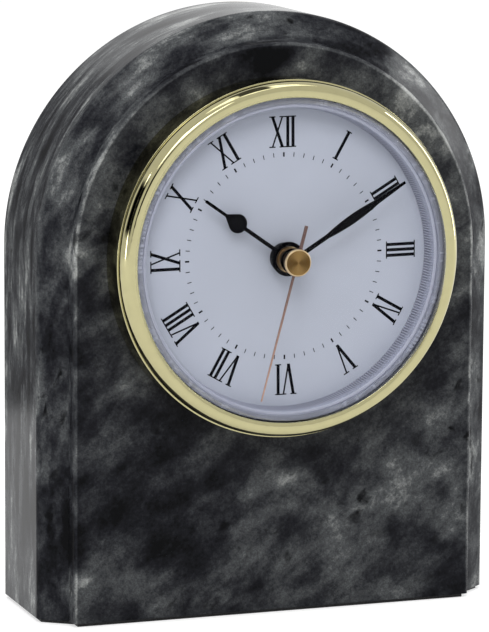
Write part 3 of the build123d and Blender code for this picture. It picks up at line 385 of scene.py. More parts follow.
def paintedEdgeHighlight(tree, look):  # the painted highlight along the panel's edge, and where the front is
    above = calculate(tree, "MAXIMUM", calculate(tree, "SUBTRACT", coordinate(tree, "Z"), dialZ), 0.0)
    away = calculate(tree, "POWER", coordinate(tree, "X"), 2.0)
    away = calculate(tree, "SQRT", calculate(tree, "MULTIPLY_ADD", above, above, away))
    edge, spread = look["edgeRadius"] / 100, look["edgeSpread"] / 100
    stops = [(edge - spread, grey(0)), (edge, grey(look["edgeHighlight"])), (edge + spread, grey(0))]
    light = ramp(tree, calculate(tree, "MULTIPLY", away, 10), stops)  # the ramp is 100 mm long
    return light, calculate(tree, "LESS_THAN", coordinate(tree, "Y"), panelY + look["edgeDepth"] * mm)


def addClouds(tree, look, flat, slanted, lightness):  # patches with bent outlines, each at its place
    reach = look["wanderReach"] * mm
    scale, detail = look["wander"]
    wander = place(tree, "ShaderNodeTexNoise", {"Scale": scale, "Detail": detail})
    tree.links.new(slanted, wander.inputs["Vector"])
    bent = place(tree, "ShaderNodeVectorMath", operation="MULTIPLY_ADD")
    bent.inputs[1].default_value = (reach, 0.0, reach)
    tree.links.new(wander.outputs["Color"], bent.inputs[0])
    tree.links.new(mapped(tree, location=(-reach / 2, -panelY, -reach / 2), source=flat), bent.inputs[2])
    for side, back, height, spread, lift in look["clouds"]:
        apart = place(tree, "ShaderNodeVectorMath", operation="DISTANCE")
        apart.inputs[1].default_value = (side * mm, back * mm, height * mm)
        tree.links.new(bent.outputs["Vector"], apart.inputs[0])
        inputs = {"From Max": spread * mm, "To Min": lift, "To Max": 0.0}
        share = place(tree, "ShaderNodeMapRange", inputs, interpolation_type="SMOOTHSTEP")
        tree.links.new(apart.outputs["Value"], share.inputs["Value"])
        lightness = calculate(tree, "ADD", lightness, share.outputs["Result"])
    return lightness


def marbleMaterial(look):
    material, tree, shader = newMaterial("dark_marble")
    flat = objectPlace(tree)
    turnedPlace = mapped(tree, rotation=(0, radians(look["slant"]), 0), source=flat)
    slanted = mapped(tree, scale=(look["stretch"], look["layering"], 1), source=turnedPlace)
    crystals = noise(tree, flat, *look["crystalNoise"])
    small = noise(tree, slanted, *look["smallNoise"])
    lightness = swingAbout(tree, small, look["smallShare"])
    lightness = calculate(tree, "ADD", lightness, noise(tree, slanted, *look["cloudNoise"]))
    lightness = calculate(tree, "MULTIPLY_ADD", *stoneLayers(tree, look, flat), lightness)
    # painted highlight along the panel's rounded edge
    lightness = calculate(tree, "MULTIPLY_ADD", *paintedEdgeHighlight(tree, look), lightness)
    lightness = addClouds(tree, look, flat, slanted, lightness)
    lightness = calculate(tree, "ADD", lightness, swingAbout(tree, crystals, look["crystalShare"]))
    base = ramp(tree, lightness, look["tones"])
    grain = ramp(tree, noise(tree, flat, *look["grainNoise"]), [(0.3, grey(0.65)), (0.7, grey(1.4))])
    grained = mixColour(tree, 0.8, base, grain, "MULTIPLY")
    veins = ramp(tree, noise(tree, slanted, *look["veinNoise"]), [(0.6, grey(0)), (0.7, grey(1))])
    here = ramp(tree, noise(tree, slanted, *look["veinPlaces"]), [(0.44, grey(0)), (0.6, grey(0.95))])
    veined = mixColour(tree, mixColour(tree, 1.0, veins, here, "MULTIPLY"), grained, look["vein"])
    tree.links.new(veined, shader.inputs["Base Color"])
    glossy, dull = look["roughness"] * 0.8, look["roughness"] * 1.2
    polish = ramp(tree, crystals, [(0.3, grey(glossy)), (0.7, grey(dull))])
    tree.links.new(polish, shader.inputs["Roughness"])
    shader.inputs["Specular IOR Level"].default_value = look["shine"]
    bump(tree, shader, crystals, 0.04, 0.02)
    return material


def metalMaterial(name, colour, roughness, grain=0.0, wave=0.0):  # fine grain, or slow waves
    material, tree, shader = newMaterial(name)
    shader.inputs["Metallic"].default_value = 1
    flat = objectPlace(tree)
    dull = noise(tree, flat, 400, 3, 0.6)
    tint = ramp(tree, dull, [(0.3, scaled(colour, 0.94)), (0.7, colour)])
    tree.links.new(tint, shader.inputs["Base Color"])
    rough = ramp(tree, dull, [(0.3, grey(roughness * 0.8)), (0.7, grey(roughness * 1.25))])
    tree.links.new(rough, shader.inputs["Roughness"])
    if grain:
        bump(tree, shader, noise(tree, flat, 2500, 4, 0.6), grain, 0.01)
    else:
        bump(tree, shader, noise(tree, flat, 160, 2, 0.4), wave, 1.0)
    return material


def plasticMaterial(name, colour, roughness, texture=0.15, shine=0.5):
    material, tree, shader = newMaterial(name)
    flat = objectPlace(tree)
    mottle = noise(tree, flat, 220, 4, 0.5)
    tint = ramp(tree, mottle, [(0.3, scaled(colour, 0.9)), (0.7, scaled(colour, 1.06))])
    tree.links.new(tint, shader.inputs["Base Color"])
    rough = ramp(tree, mottle, [(0.3, grey(roughness * 0.88)), (0.7, grey(roughness * 1.12))])
    tree.links.new(rough, shader.inputs["Roughness"])
    shader.inputs["Specular IOR Level"].default_value = shine
    bump(tree, shader, noise(tree, flat, 1800, 3, 0.5), texture, 0.02)
    return material


feltLook = {
    "between": (0.008, 0.008, 0.009),
    "fibre": (0.05, 0.05, 0.052),
    "roughness": 0.95,
    "sheen": 0.4,
    "fluff": 0.3,            # how high the fibres seem to stand
}


def feltMaterial(look):
    material, tree, shader = newMaterial("black_felt")
    fibres = noise(tree, objectPlace(tree), 1500, 6, 0.75)
    tint = ramp(tree, fibres, [(0.35, look["between"]), (0.7, look["fibre"])])
    tree.links.new(tint, shader.inputs["Base Color"])
    shader.inputs["Roughness"].default_value = look["roughness"]
    shader.inputs["Sheen Weight"].default_value = look["sheen"]
    bump(tree, shader, fibres, 0.6, look["fluff"])
    return material


lensLook = {
    "tint": (0.965, 0.972, 0.985),
    "paintedShadeStart": 40.5,     # the flange under the rim has painted shade from here outwards
    "paintedShadeLow": (0.08, 0.08, 0.09),
    "paintedShadeHigh": (0.75, 0.74, 0.7),
    "paintedShadeRise": 18.0,      # the painted shade is dark below the axis up to here, then lighter up to the axis
    "headOn": 0.002,         # share of the light that it mirrors head on
    "edgeOn": 0.5,
    "roughness": 0.02,
}


def lensMaterial(look):  # a thin clear wall: it mirrors more and more towards its edges. Painted shade darkens its flange under the rim
    material, tree, shader = newMaterial("clear_lens")
    tree.nodes.remove(shader)
    # painted shade of the rim on the flange: dark on its lower half, lighter towards the axis
    low = dialZ - look["paintedShadeRise"] * mm
    upwards = place(tree, "ShaderNodeMapRange", {"From Min": low, "From Max": dialZ})
    tree.links.new(coordinate(tree, "Z"), upwards.inputs["Value"])
    flange = mixColour(tree, upwards.outputs["Result"], look["paintedShadeLow"], look["paintedShadeHigh"])
    start = look["paintedShadeStart"] * mm
    outside = place(tree, "ShaderNodeMapRange", {"From Min": start, "From Max": start + 0.1 * mm})
    tree.links.new(fromAxis(tree), outside.inputs["Value"])
    tint = mixColour(tree, outside.outputs["Result"], look["tint"], flange)
    clear = place(tree, "ShaderNodeBsdfTransparent")
    tree.links.new(tint, clear.inputs["Color"])
    mirror = place(tree, "ShaderNodeBsdfGlossy", {"Color": (1, 1, 1, 1), "Roughness": look["roughness"]})
    facing = place(tree, "ShaderNodeLayerWeight", {"Blend": 0.5}).outputs["Facing"]
    steep = calculate(tree, "POWER", facing, 4.0)
    share = calculate(tree, "MULTIPLY_ADD", steep, look["edgeOn"] - look["headOn"], look["headOn"])
    showMix(tree, share, clear.outputs["BSDF"], mirror.outputs["BSDF"])
    return material


surroundLook = {
    "colour": (0.42, 0.43, 0.51),
    # painted shade in the grooves between the ribs
    "groove": (0.20, 0.205, 0.25),
    "ribs": 360,
    "wallTo": 38.1,          # the ribs end here, below the plain brim
}


def surroundMaterial(look):  # pale plastic, with painted shade in the grooves between the ribs
    material, tree, shader = newMaterial("lavender_grey_plastic")
    onWall = calculate(tree, "LESS_THAN", fromAxis(tree), look["wallTo"] * mm)
    wave = calculate(tree, "MULTIPLY_ADD", aroundAxis(tree, look["ribs"]), 0.5, 0.5)
    groove = calculate(tree, "MULTIPLY", wave, onWall)
    colour = mixColour(tree, groove, look["colour"], look["groove"])
    tree.links.new(colour, shader.inputs["Base Color"])
    mottle = noise(tree, objectPlace(tree), 500, 3, 0.5)
    tree.links.new(ramp(tree, mottle, [(0.3, grey(0.3)), (0.7, grey(0.38))]), shader.inputs["Roughness"])
    return material


dialLook = {
    "shade": (0.50, 0.52, 0.58),
    "light": (0.55, 0.57, 0.635),
    "roughness": 0.5,
    "shine": 0.3,
}


def dialMaterial(look):
    material, tree, shader = newMaterial("satin_dial")
    flat = objectPlace(tree)
    tint = ramp(tree, noise(tree, flat, 30, 3, 0.5), [(0.3, look["shade"]), (0.7, look["light"])])
    tree.links.new(tint, shader.inputs["Base Color"])
    shader.inputs["Roughness"].default_value = look["roughness"]
    shader.inputs["Specular IOR Level"].default_value = look["shine"]
    bump(tree, shader, noise(tree, flat, 3000, 3, 0.6), 0.1, 0.01)
    return material


copperLook = {
    "tail": (0.15, 0.085, 0.07),
    "needle": (0.52, 0.32, 0.24),
    "paleFrom": 9.0,         # above the axis, and it is palest at the needle's far end
    "paleTo": -30.0,
    "metallic": 0.6,
    "roughness": 0.42,
}


def copperMaterial(look):  # satin copper, browner on the tail and paler along the needle
    material, tree, shader = newMaterial("satin_copper")
    first, last = dialZ + look["paleFrom"] * mm, dialZ + look["paleTo"] * mm
    along = place(tree, "ShaderNodeMapRange", {"From Min": first, "From Max": last})
    tree.links.new(coordinate(tree, "Z"), along.inputs["Value"])
    colour = ramp(tree, along.outputs["Result"], [(0.3, look["tail"]), (1.0, look["needle"])])
    flat = objectPlace(tree)
    worn = ramp(tree, noise(tree, flat, 900, 3, 0.6), [(0.3, grey(0.86)), (0.7, grey(1.0))])
    tree.links.new(mixColour(tree, 1.0, colour, worn, "MULTIPLY"), shader.inputs["Base Color"])
    shader.inputs["Metallic"].default_value = look["metallic"]
    shader.inputs["Roughness"].default_value = look["roughness"]
    bump(tree, shader, noise(tree, flat, 4000, 2, 0.5), 0.1, 0.005)
    return material


capLook = {
    "dark": (0.095, 0.052, 0.015),
    "light": (0.24, 0.145, 0.05),
    "edge": (0.62, 0.46, 0.26),
    "edgeStart": 3.1,
    "paintedGlint": 0.35,          # how strongly the painted glint shows, in two wedge-shaped patches
    "roughness": 0.3,
    "anisotropy": 0.6,
}


def capMaterial(look):  # brass with fine rings from the tool, and a painted glint in two wedge-shaped patches
    material, tree, shader = newMaterial("spun_brass")
    away = fromAxis(tree)
    rings = place(tree, "ShaderNodeTexNoise", {"Scale": 5200.0, "Detail": 3.0}, noise_dimensions="1D")
    tree.links.new(away, rings.inputs["W"])
    # painted glint: lighter in two opposite wedge-shaped patches round the axis
    paintedGlint = calculate(tree, "MULTIPLY_ADD", aroundAxis(tree, 2), -look["paintedGlint"], rings.outputs["Fac"])
    face = ramp(tree, paintedGlint, [(0.2, look["dark"]), (0.85, look["light"])])
    onEdge = calculate(tree, "GREATER_THAN", away, look["edgeStart"] * mm)
    tree.links.new(mixColour(tree, onEdge, face, look["edge"]), shader.inputs["Base Color"])
    shader.inputs["Metallic"].default_value = 1
    shader.inputs["Roughness"].default_value = look["roughness"]
    shader.inputs["Anisotropic"].default_value = look["anisotropy"]
    tangent = place(tree, "ShaderNodeTangent", direction_type="RADIAL", axis="Y")
    tree.links.new(tangent.outputs["Tangent"], shader.inputs["Tangent"])
    return material


def grooveMaterial(name, between, line, roughness, axis, spacing, strength):  # fine turned or wound lines, with painted shade on the colour between them
    material, tree, shader = newMaterial(name)
    unitWave = 0.314         # metres from crest to crest at scale 1
    wave = place(tree, "ShaderNodeTexWave", {"Scale": unitWave / (spacing * mm), "Distortion": 0.0})
    wave.bands_direction = axis
    tree.links.new(objectPlace(tree), wave.inputs["Vector"])
    crest = wave.outputs["Fac"]
    tree.links.new(ramp(tree, crest, [(0.35, between), (0.8, line)]), shader.inputs["Base Color"])
    shader.inputs["Metallic"].default_value = 1
    shader.inputs["Roughness"].default_value = roughness
    bump(tree, shader, crest, strength, spacing * 0.4)
    return material


batteryLook = {
    "jacket": (0.02, 0.022, 0.03),
    "band": (0.42, 0.24, 0.07),
    "ends": (0.55, 0.55, 0.56),
    "bandStart": 12.0,       # from the middle towards the nub
    "jacketEnd": 24.2,
}


def batteryMaterial(look):  # a plain jacket with a copper band and bare steel ends
    material, tree, shader = newMaterial("battery_jacket")
    inBand = calculate(tree, "GREATER_THAN", coordinate(tree, "X"), look["bandStart"] * mm)
    away = calculate(tree, "ABSOLUTE", coordinate(tree, "X"))
    bare = calculate(tree, "GREATER_THAN", away, look["jacketEnd"] * mm)
    scuffs = noise(tree, objectPlace(tree), 300, 4, 0.6)
    printed = mixColour(tree, inBand, look["jacket"], look["band"])
    colour = mixColour(tree, bare, printed, look["ends"])
    worn = ramp(tree, scuffs, [(0.35, grey(0.85)), (0.65, grey(1.0))])
    tree.links.new(mixColour(tree, 1.0, colour, worn, "MULTIPLY"), shader.inputs["Base Color"])
    tree.links.new(calculate(tree, "MAXIMUM", bare, inBand), shader.inputs["Metallic"])
    tree.links.new(ramp(tree, scuffs, [(0.3, grey(0.25)), (0.7, grey(0.36))]), shader.inputs["Roughness"])
    return material


turnedBrassLook = {
    # the colour between the lines is painted shade
    "between": (0.07, 0.038, 0.022),
    "line": (0.42, 0.30, 0.17),
    "roughness": 0.28,
    "axis": "Y",             # the lines follow one another along this
    "spacing": 0.45,
    "strength": 0.4,
}
woundCopperLook = {
    # the colour between the lines is painted shade
    "between": (0.2, 0.07, 0.025),
    "line": (0.62, 0.25, 0.09),
    "roughness": 0.3,
    "axis": "X",
    "spacing": 0.16,
    "strength": 0.6,
}

marble = marbleMaterial(marbleLook)
felt = feltMaterial(feltLook)
lensGlass = lensMaterial(lensLook)
surroundPlastic = surroundMaterial(surroundLook)
dialPaint = dialMaterial(dialLook)
copper = copperMaterial(copperLook)
spunBrass = capMaterial(capLook)
batteryJacket = batteryMaterial(batteryLook)
brass = grooveMaterial("turned_brass", **turnedBrassLook)
copperWire = grooveMaterial("enamelled_copper", **woundCopperLook)

# Plain finishes: colour, roughness, then how strong the grain, waves or texture are
gold = metalMaterial("pale_gold", (0.43, 0.40, 0.225), 0.05, wave=0.12)
steel = metalMaterial("bright_steel", (0.6, 0.6, 0.61), 0.25, grain=0.1)
springSteel = metalMaterial("nickel_spring", (0.66, 0.65, 0.62), 0.2, grain=0.05)
blackPaint = plasticMaterial("black_paint", (0.001, 0.001, 0.002), 0.25, texture=0.03, shine=0.03)
printInk = plasticMaterial("dial_print", (0.003, 0.003, 0.005), 0.6, texture=0.05, shine=0.03)
blackPlastic = plasticMaterial("moulded_black_plastic", (0.032, 0.032, 0.034), 0.48, texture=0.4)
palePlastic = plasticMaterial("natural_plastic", (0.6, 0.59, 0.55), 0.45)
nylon = plasticMaterial("white_nylon", (0.72, 0.72, 0.68), 0.4)
rubber = plasticMaterial("soft_rubber", (0.02, 0.02, 0.02), 0.7, texture=0.3)
boardResist = plasticMaterial("green_resist", (0.015, 0.12, 0.04), 0.3)
magnetGrey = plasticMaterial("moulded_magnet", (0.05, 0.05, 0.055), 0.6)

slotMaterial = {
    "marble": marble,
    "felt": felt,
    "polished_gold": gold,
    "clear_lens": lensGlass,
    "surround": surroundPlastic,
    "dial_face": dialPaint,
    "cup": blackPlastic,
    "rubber": rubber,
    "movement_black": blackPlastic,
    "bridge_plastic": palePlastic,
    "black_metal": blackPaint,
    "iron": steel,
    "copper_wire": copperWire,
    "board": boardResist,
    "spring_steel": springSteel,
    "battery_jacket": batteryJacket,
    "gear_nylon": nylon,
    "copper_hand": copper,
    "hub_brass": brass,
    "magnet": magnetGrey,
}
for part in frame["record"]["subparts"]:
    mesh = nodes[part["node"]].data
    mesh.materials.clear()
    mesh.materials.append(slotMaterial[part["material_slot"]])
print("materials made")


# Marble case
caseShape = {
    "bandOuterDepth": 8.4,   # behind the panel's face
    "bandWidth": 6.6,
    "bandRise": 5.0,
    "stepWidth": 0.6,
    "stepRise": 3.4,
    "outerEdge": 1.0,
    "panelEdge": 0.9,
    "backEdge": 1.0,
    "boreRadius": 40.0,
    "boreChamfer": 0.6,
    "cutterSpare": 1.0,      # the bore's cutter goes past both faces by this
    "cutterCore": 0.01,      # its hollow middle, which leaves a hair of stone on the axis
    "segments": 240,
    "spareFoot": 20.0,       # cut off again once the front is moulded
}


def makeCase(shape):
    halfWidth = caseHigh[0]
    archZ = caseHigh[2] - halfWidth
    bandY = panelY + shape["bandOuterDepth"] * mm
    deselectAll()
    bpy.ops.mesh.primitive_circle_add(
        vertices=shape["segments"],
        radius=halfWidth,
        fill_type="NGON",
        location=(0, bandY, archZ),
        rotation=(pi / 2, 0, 0),
    )
    piece = bpy.context.object
    bpy.ops.object.transform_apply(location=True, rotation=True)
    editMode()
    bpy.ops.mesh.select_all(action="SELECT")
    bpy.ops.mesh.bisect(plane_co=(0, bandY, archZ), plane_no=(0, 0, 1), clear_inner=True)
    selectWhere(piece, lambda co: co.z < archZ + near, "EDGE")
    drop = archZ - caseLow[2] + shape["spareFoot"] * mm
    bpy.ops.mesh.extrude_edges_move(TRANSFORM_OT_translate={"value": (0, 0, -drop)})
    selectWhere(piece, lambda co: same(co.z, archZ), "EDGE")
    bpy.ops.mesh.dissolve_edges(use_verts=False)
    bpy.ops.mesh.select_mode(type="FACE")
    bpy.ops.mesh.select_all(action="SELECT")
    bpy.ops.mesh.extrude_region_move(TRANSFORM_OT_translate={"value": (0, caseHigh[1] - bandY, 0)})
    objectMode()
    cleanUp(piece)
    selectWhere(piece, lambda co: same(co.y, bandY), "FACE")
    bpy.ops.mesh.inset(thickness=shape["bandWidth"] * mm, depth=shape["bandRise"] * mm)
    bpy.ops.mesh.inset(thickness=shape["stepWidth"] * mm, depth=shape["stepRise"] * mm)
    edges = [(bandY, "outerEdge", 6), (panelY, "panelEdge", 5), (caseHigh[1], "backEdge", 5)]
    for edgeY, edge, segments in edges:
        selectWhere(piece, lambda co: same(co.y, edgeY), "EDGE")
        bpy.ops.mesh.bevel(offset=shape[edge] * mm, segments=segments, affect="EDGES")
    bpy.ops.mesh.select_all(action="SELECT")
    foot = (0, 0, caseLow[2])
    bpy.ops.mesh.bisect(plane_co=foot, plane_no=(0, 0, 1), clear_inner=True, use_fill=True)
    objectMode()
    cleanUp(piece)
    boreRadius, spare, core = shape["boreRadius"], shape["cutterSpare"], shape["cutterCore"]
    back = (caseHigh[1] - panelY) / mm
    cutterRings = [
        (core, -spare),
        (boreRadius, -spare),
        (boreRadius, back - shape["boreChamfer"]),
        (boreRadius + shape["boreChamfer"] + spare, back + spare),
        (core, back + spare),
    ]
    cutter = turned(cutterRings, shape["segments"])
    applyModifier(piece, "BOOLEAN", object=cutter, operation="DIFFERENCE", solver="EXACT")
    bpy.data.objects.remove(cutter)
    smooth(piece, 35, weighted=True)
    finishPiece(piece, "marble_block", "case", "marble", marble, "marble_case")


makeCase(caseShape)
print("case made")


# Gold bezel: a plain drum with a fine ledge at its edge and a broad rolled rim
bezelShape = {
    "radius": 45.0,
    "wall": 0.8,
    "wallHeight": 8.5,
    "ledge": 0.3,
    "ledgeRound": 0.08,
    "roll": (2.1, 3.6),      # across and towards the viewer
    "rim": (1.85, 0.3),
    "segments": 288,
}


def makeBezel(shape):
    radius, height = shape["radius"], shape["wallHeight"]
    rollWidth, rollHeight = shape["roll"]
    rimWidth, rimDrop = shape["rim"]
    wall, edge = shape["wall"], shape["ledgeRound"]
    rollRadius = radius - shape["ledge"]
    crest = rollRadius - rollWidth
    crestHeight = height + rollHeight
    lipHeight = crestHeight - rimDrop
    rings = [(radius - wall, 0), (radius - edge, 0), (radius, -edge)]
    rings += arcRings((radius - edge, -height + edge), (edge, edge), 0, 90, 3)
    rings += arcRings((crest, -height), (rollWidth, rollHeight), 0, 90, 18)
    rings += arcRings((crest, -lipHeight), (rimWidth, rimDrop), 90, 180, 12)[1:]
    rings += [(crest - rimWidth, -lipHeight + wall), (crest, -crestHeight + wall)]
    inside = (radius - wall - crest, crestHeight - wall - height)
    rings += list(reversed(arcRings((crest, -height), inside, 0, 90, 8)))[1:]
    piece = turned(rings, shape["segments"])
    smooth(piece, 35)
    finishPiece(piece, "gold_bezel", "insert", "polished_gold", gold, "bezel")


makeBezel(bezelShape)


# Lens: flange under the lip, a raised shoulder and a shallow dome
lensShape = {
    "flangeRadius": 41.78,
    "flange": (10.4, 10.98),  # heights of its two faces above the panel
    "neckRadius": 40.45,
    "shoulder": (39.45, 15.7),  # radius and height
    "shoulderRound": 0.5,
    "shoulderFlare": 0.12,   # the wall under the shoulder stands out by this
    "dome": 2.795,           # height above the shoulder
    "domeSteps": 24,
    "thickness": 1.3,
    "poleRadius": 0.02,
    "segments": 240,
}


def domeRings(radius, shoulderHeight, shape):  # from the shoulder to the pole
    dome, steps = shape["dome"], shape["domeSteps"]
    sphere = (radius * radius + dome * dome) / (2 * dome)
    points = []
    for i in range(steps):
        r = radius * (1 - i / steps)
        points.append((r, -(shoulderHeight + dome - sphere + (sphere * sphere - r * r) ** 0.5)))
    return points + [(shape["poleRadius"], -(shoulderHeight + dome))]


def makeLens(shape):
    seat, flangeTop = shape["flange"]
    neck, flange = shape["neckRadius"], shape["flangeRadius"]
    radius, height = shape["shoulder"]
    wall, edge, flare = shape["thickness"], shape["shoulderRound"], shape["shoulderFlare"]
    outer = domeRings(radius, height, shape)
    shoulder = arcRings((radius - edge, -(height - edge)), (edge + flare / 2, edge), 15, 80, 5)
    rings = list(reversed(outer[1:])) + list(reversed(shoulder))
    rings += [(radius + flare, -(height - edge)), (neck, -flangeTop), (flange, -flangeTop)]
    rings += [(flange, -seat), (neck - wall, -seat)]
    rings += domeRings(radius - wall, height - wall, shape)
    piece = turned(rings, shape["segments"], closed=False)
    smooth(piece, 40)
    finishPiece(piece, "domed_lens", "insert", "clear_lens", lensGlass, "lens")


makeLens(lensShape)
print("bezel and lens made")


# Surround with its fine ribs and the groove round its flat top
surroundShape = {
    "outer": 41.78,
    "foot": 37.58,           # radius of the ribbed wall on the dial
    "ribsEnd": 38.03,        # and where its ribs stop
    "height": 5.6,
    "ribs": surroundLook["ribs"],
    "ribDepth": 0.3,
    "brim": 0.5,             # plain edge above the ribs
    "lip": [(38.13, 0.3), (38.2, 0.1), (38.32, 0.0)],  # its rounding: radius, depth below the top
    "groove": (38.85, 39.15, 0.3),  # two radii and the depth
    "grooveSlope": 0.06,
    "gap": 0.01,             # its foot stands this much clear of the dial
}


def makeSurround(shape):
    face = (dialFace - panelY) / mm
    foot, top = face - shape["gap"], face - shape["height"]
    inner, outer, grooveDepth = shape["groove"]
    slope = shape["grooveSlope"]
    rings = [(shape["outer"], foot), (shape["foot"], foot), (shape["ribsEnd"], top + shape["brim"])]
    rings += [(radius, top + depth) for radius, depth in shape["lip"]]
    rings += [(inner, top), (inner + slope, top + grooveDepth)]
    rings += [(outer - slope, top + grooveDepth), (outer, top), (shape["outer"], top)]
    piece = turned(rings, shape["ribs"] * 2)
    spacing = pi / shape["ribs"]

    def betweenRibs(co):     # every second column of the wall
        if axisDistance(co) > shape["ribsEnd"] * mm + near:
            return False
        column = round(Vector((co.x, co.z - dialZ)).angle_signed(Vector((1, 0))) / spacing)
        return column % 2 == 0

    selectWhere(piece, betweenRibs)
    ratio = 1 + shape["ribDepth"] / shape["foot"]
    bpy.ops.transform.resize(value=(ratio, 1, ratio), center_override=axisPoint)
    objectMode()
    smooth(piece, 20)
    finishPiece(piece, "ribbed_surround", "insert", "surround", surroundPlastic, "dial_surround")


makeSurround(surroundShape)
print("surround made")


# Dial print: strokes are flat bars that stand a hair above the dial. A small letter is drawn
# with its thick and thin strokes changed over
printShape = {
    "lift": 0.03,
    "turn": -0.65,           # the print sits a little anticlockwise of upright
    "rise": 0.3,             # and its middle this much above the axis
    "numerals": ["XII", "I", "II", "III", "Iv", "V", "VI", "VII", "VIII", "Ix", "x", "xI"],
    "shifts": [-0.29, -0.08, 0, 0, -0.6, -0.45, -0.35, -0.2, 0, 0.38, 0.38, 0],  # clockwise
    "numeralFoot": 27.35,    # from the axis to the numerals' feet
    "numeralHeight": 7.85,
    "stem": 0.80,            # thick strokes
    "hair": 0.42,            # thin strokes of X and V
    "wideLetter": 2.7,       # between the middles of the strokes of X and V
    "serif": 0.30,
    "serifReach": 0.42,
    "stemGap": 1.38,         # from one letter's last stroke to the next letter's first
    "stemGapBeforeV": 0.95,  # and before a small v
    "minuteRadius": (25.03, 26.14),
    "minuteWidth": 0.2,
    "hourMarkWidth": 0.42,
}


def makeBar(lowX, highX, lowY, highY, width):  # a stroke from its foot to its head, cut level
    deselectAll()
    middle = (lowY + highY) / 2
    bpy.ops.mesh.primitive_plane_add(size=1, location=(lowX, middle, 0))
    piece = bpy.context.object
    piece.scale = (width, highY - lowY, 1)
    bpy.ops.object.transform_apply(location=True, rotation=True, scale=True)
    if highX != lowX:
        selectWhere(piece, lambda co: co.y > middle)
        bpy.ops.transform.translate(value=(highX - lowX, 0, 0))
        objectMode()
    return piece


def joinPieces(pieces):
    deselectAll()
    for piece in pieces:
        piece.select_set(True)
    bpy.context.view_layer.objects.active = pieces[0]
    bpy.ops.object.join()
    return bpy.context.object


# A letter's strokes as (foot, head, width), the feet and the heads with serifs, and its width
def letterStrokes(letter, x, shape):
    stem, hair = shape["stem"], shape["hair"]
    if letter == "I":
        return [(x, x, stem)], [x], [x], 0.0
    width = shape["wideLetter"]
    left, right = (stem, hair) if letter.isupper() else (hair, stem)
    if letter in "Vv":
        apex = x + width / 2
        return [(apex, x, left), (apex, x + width, right)], [], [x, x + width], width
    return [(x + width, x, left), (x, x + width, right)], [x, x + width], [x, x + width], width


def drawNumeral(letters, shift, shape):
    high, serif = shape["numeralHeight"], shape["serif"]
    strokes, feet, heads = [], [], []
    x = 0.0
    for i, letter in enumerate(letters):
        if i > 0:
            x += shape["stemGapBeforeV"] if letter == "v" else shape["stemGap"]
        letterLines, letterFeet, letterHeads, width = letterStrokes(letter, x, shape)
        strokes += letterLines
        feet += letterFeet
        heads += letterHeads
        x += width
    pieces = [makeBar(lowX, highX, 0, high, width) for lowX, highX, width in strokes]
    serifWidth = shape["stem"] + shape["serifReach"] * 2
    pieces += [makeBar(foot, foot, 0, serif, serifWidth) for foot in feet]
    pieces += [makeBar(head, head, high - serif, high, serifWidth) for head in heads]
    numeral = joinPieces(pieces)
    pick(numeral)
    editMode()
    bpy.ops.mesh.select_all(action="SELECT")
    bpy.ops.transform.translate(value=(shift - x / 2, shape["numeralFoot"], 0))
    objectMode()
    return numeral


def setOnDial(piece, clockwise, shape):  # from the drawing plane, in millimetres, to the dial
    turn = Matrix.Rotation(radians(clockwise + shape["turn"]), 4, "Y")
    upright = Matrix.Rotation(pi / 2, 4, "X")
    middle = Matrix.Translation((0, dialFace - shape["lift"] * mm, dialZ + shape["rise"] * mm))
    piece.matrix_world = middle @ turn @ upright @ Matrix.Scale(mm, 4)
    pick(piece)
    bpy.ops.object.transform_apply(location=True, rotation=True, scale=True)


def makeNumerals(shape):
    numerals = []
    for hour, (letters, shift) in enumerate(zip(shape["numerals"], shape["shifts"])):
        numeral = drawNumeral(letters, shift, shape)
        setOnDial(numeral, hour * 30, shape)
        numerals.append(numeral)
    finishPiece(joinPieces(numerals), "dial_numerals", "insert", "dial_face", printInk)


def makeMinuteMarks(shape):
    inner, outer = shape["minuteRadius"]
    marks = []
    for minute in range(60):
        width = shape["hourMarkWidth"] if minute % 5 == 0 else shape["minuteWidth"]
        mark = makeBar(0, 0, inner, outer, width)
        setOnDial(mark, minute * 6, shape)
        marks.append(mark)
    finishPiece(joinPieces(marks), "minute_marks", "insert", "dial_face", printInk)


makeNumerals(printShape)
makeMinuteMarks(printShape)
print("dial print made")


# Brass cap on the second hand: a spun disc with a rounded rim
capShape = {
    "radius": 3.45,
    "edge": 0.4,
    "backEdge": 0.06,
    "dish": 0.06,            # the face falls a little towards its middle
    "poleRadius": 0.02,
    "segments": 96,
}


def makeCap(shape):
    radius, edge, pole = shape["radius"], shape["edge"], shape["poleRadius"]
    dish, backEdge = shape["dish"], shape["backEdge"]
    front = (capLow[1] - panelY) / mm
    back = (capHigh[1] - panelY) / mm
    rings = [(pole, front + dish), (radius / 2, front + dish / 2)]
    rings += list(reversed(arcRings((radius - edge, front + edge), (edge, edge), 0, 90, 8)))
    rings += [(radius, back - backEdge), (radius - backEdge, back), (pole, back)]
    piece = turned(rings, shape["segments"], closed=False)
    smooth(piece, 35)
    finishPiece(piece, "spun_cap", "seconds", "hub_brass", spunBrass, "hub_cap")


makeCap(capShape)


# Moulded and pressed pieces: each is a copy of its node, merged and given soft edges
softEdges = {                # edge radius in millimetres, body, slot and finish
    "movement_case": (0.25, "insert", "movement_black", blackPlastic),
    "movement_cover": (0.18, "insert", "movement_black", blackPlastic),
    "insert_cup": (0.12, "insert", "cup", blackPlastic),
    "gear_bridge": (0.12, "insert", "bridge_plastic", palePlastic),
    "ring_nut": (0.08, "insert", "black_metal", blackPaint),
    "setting_knob": (0.12, "knob", "movement_black", blackPlastic),
    "hour_hand": (0.05, "hours", "black_metal", blackPaint),
    "minute_hand": (0.05, "minutes", "black_metal", blackPaint),
    "second_hand": (0.04, "seconds", "copper_hand", copper),
}


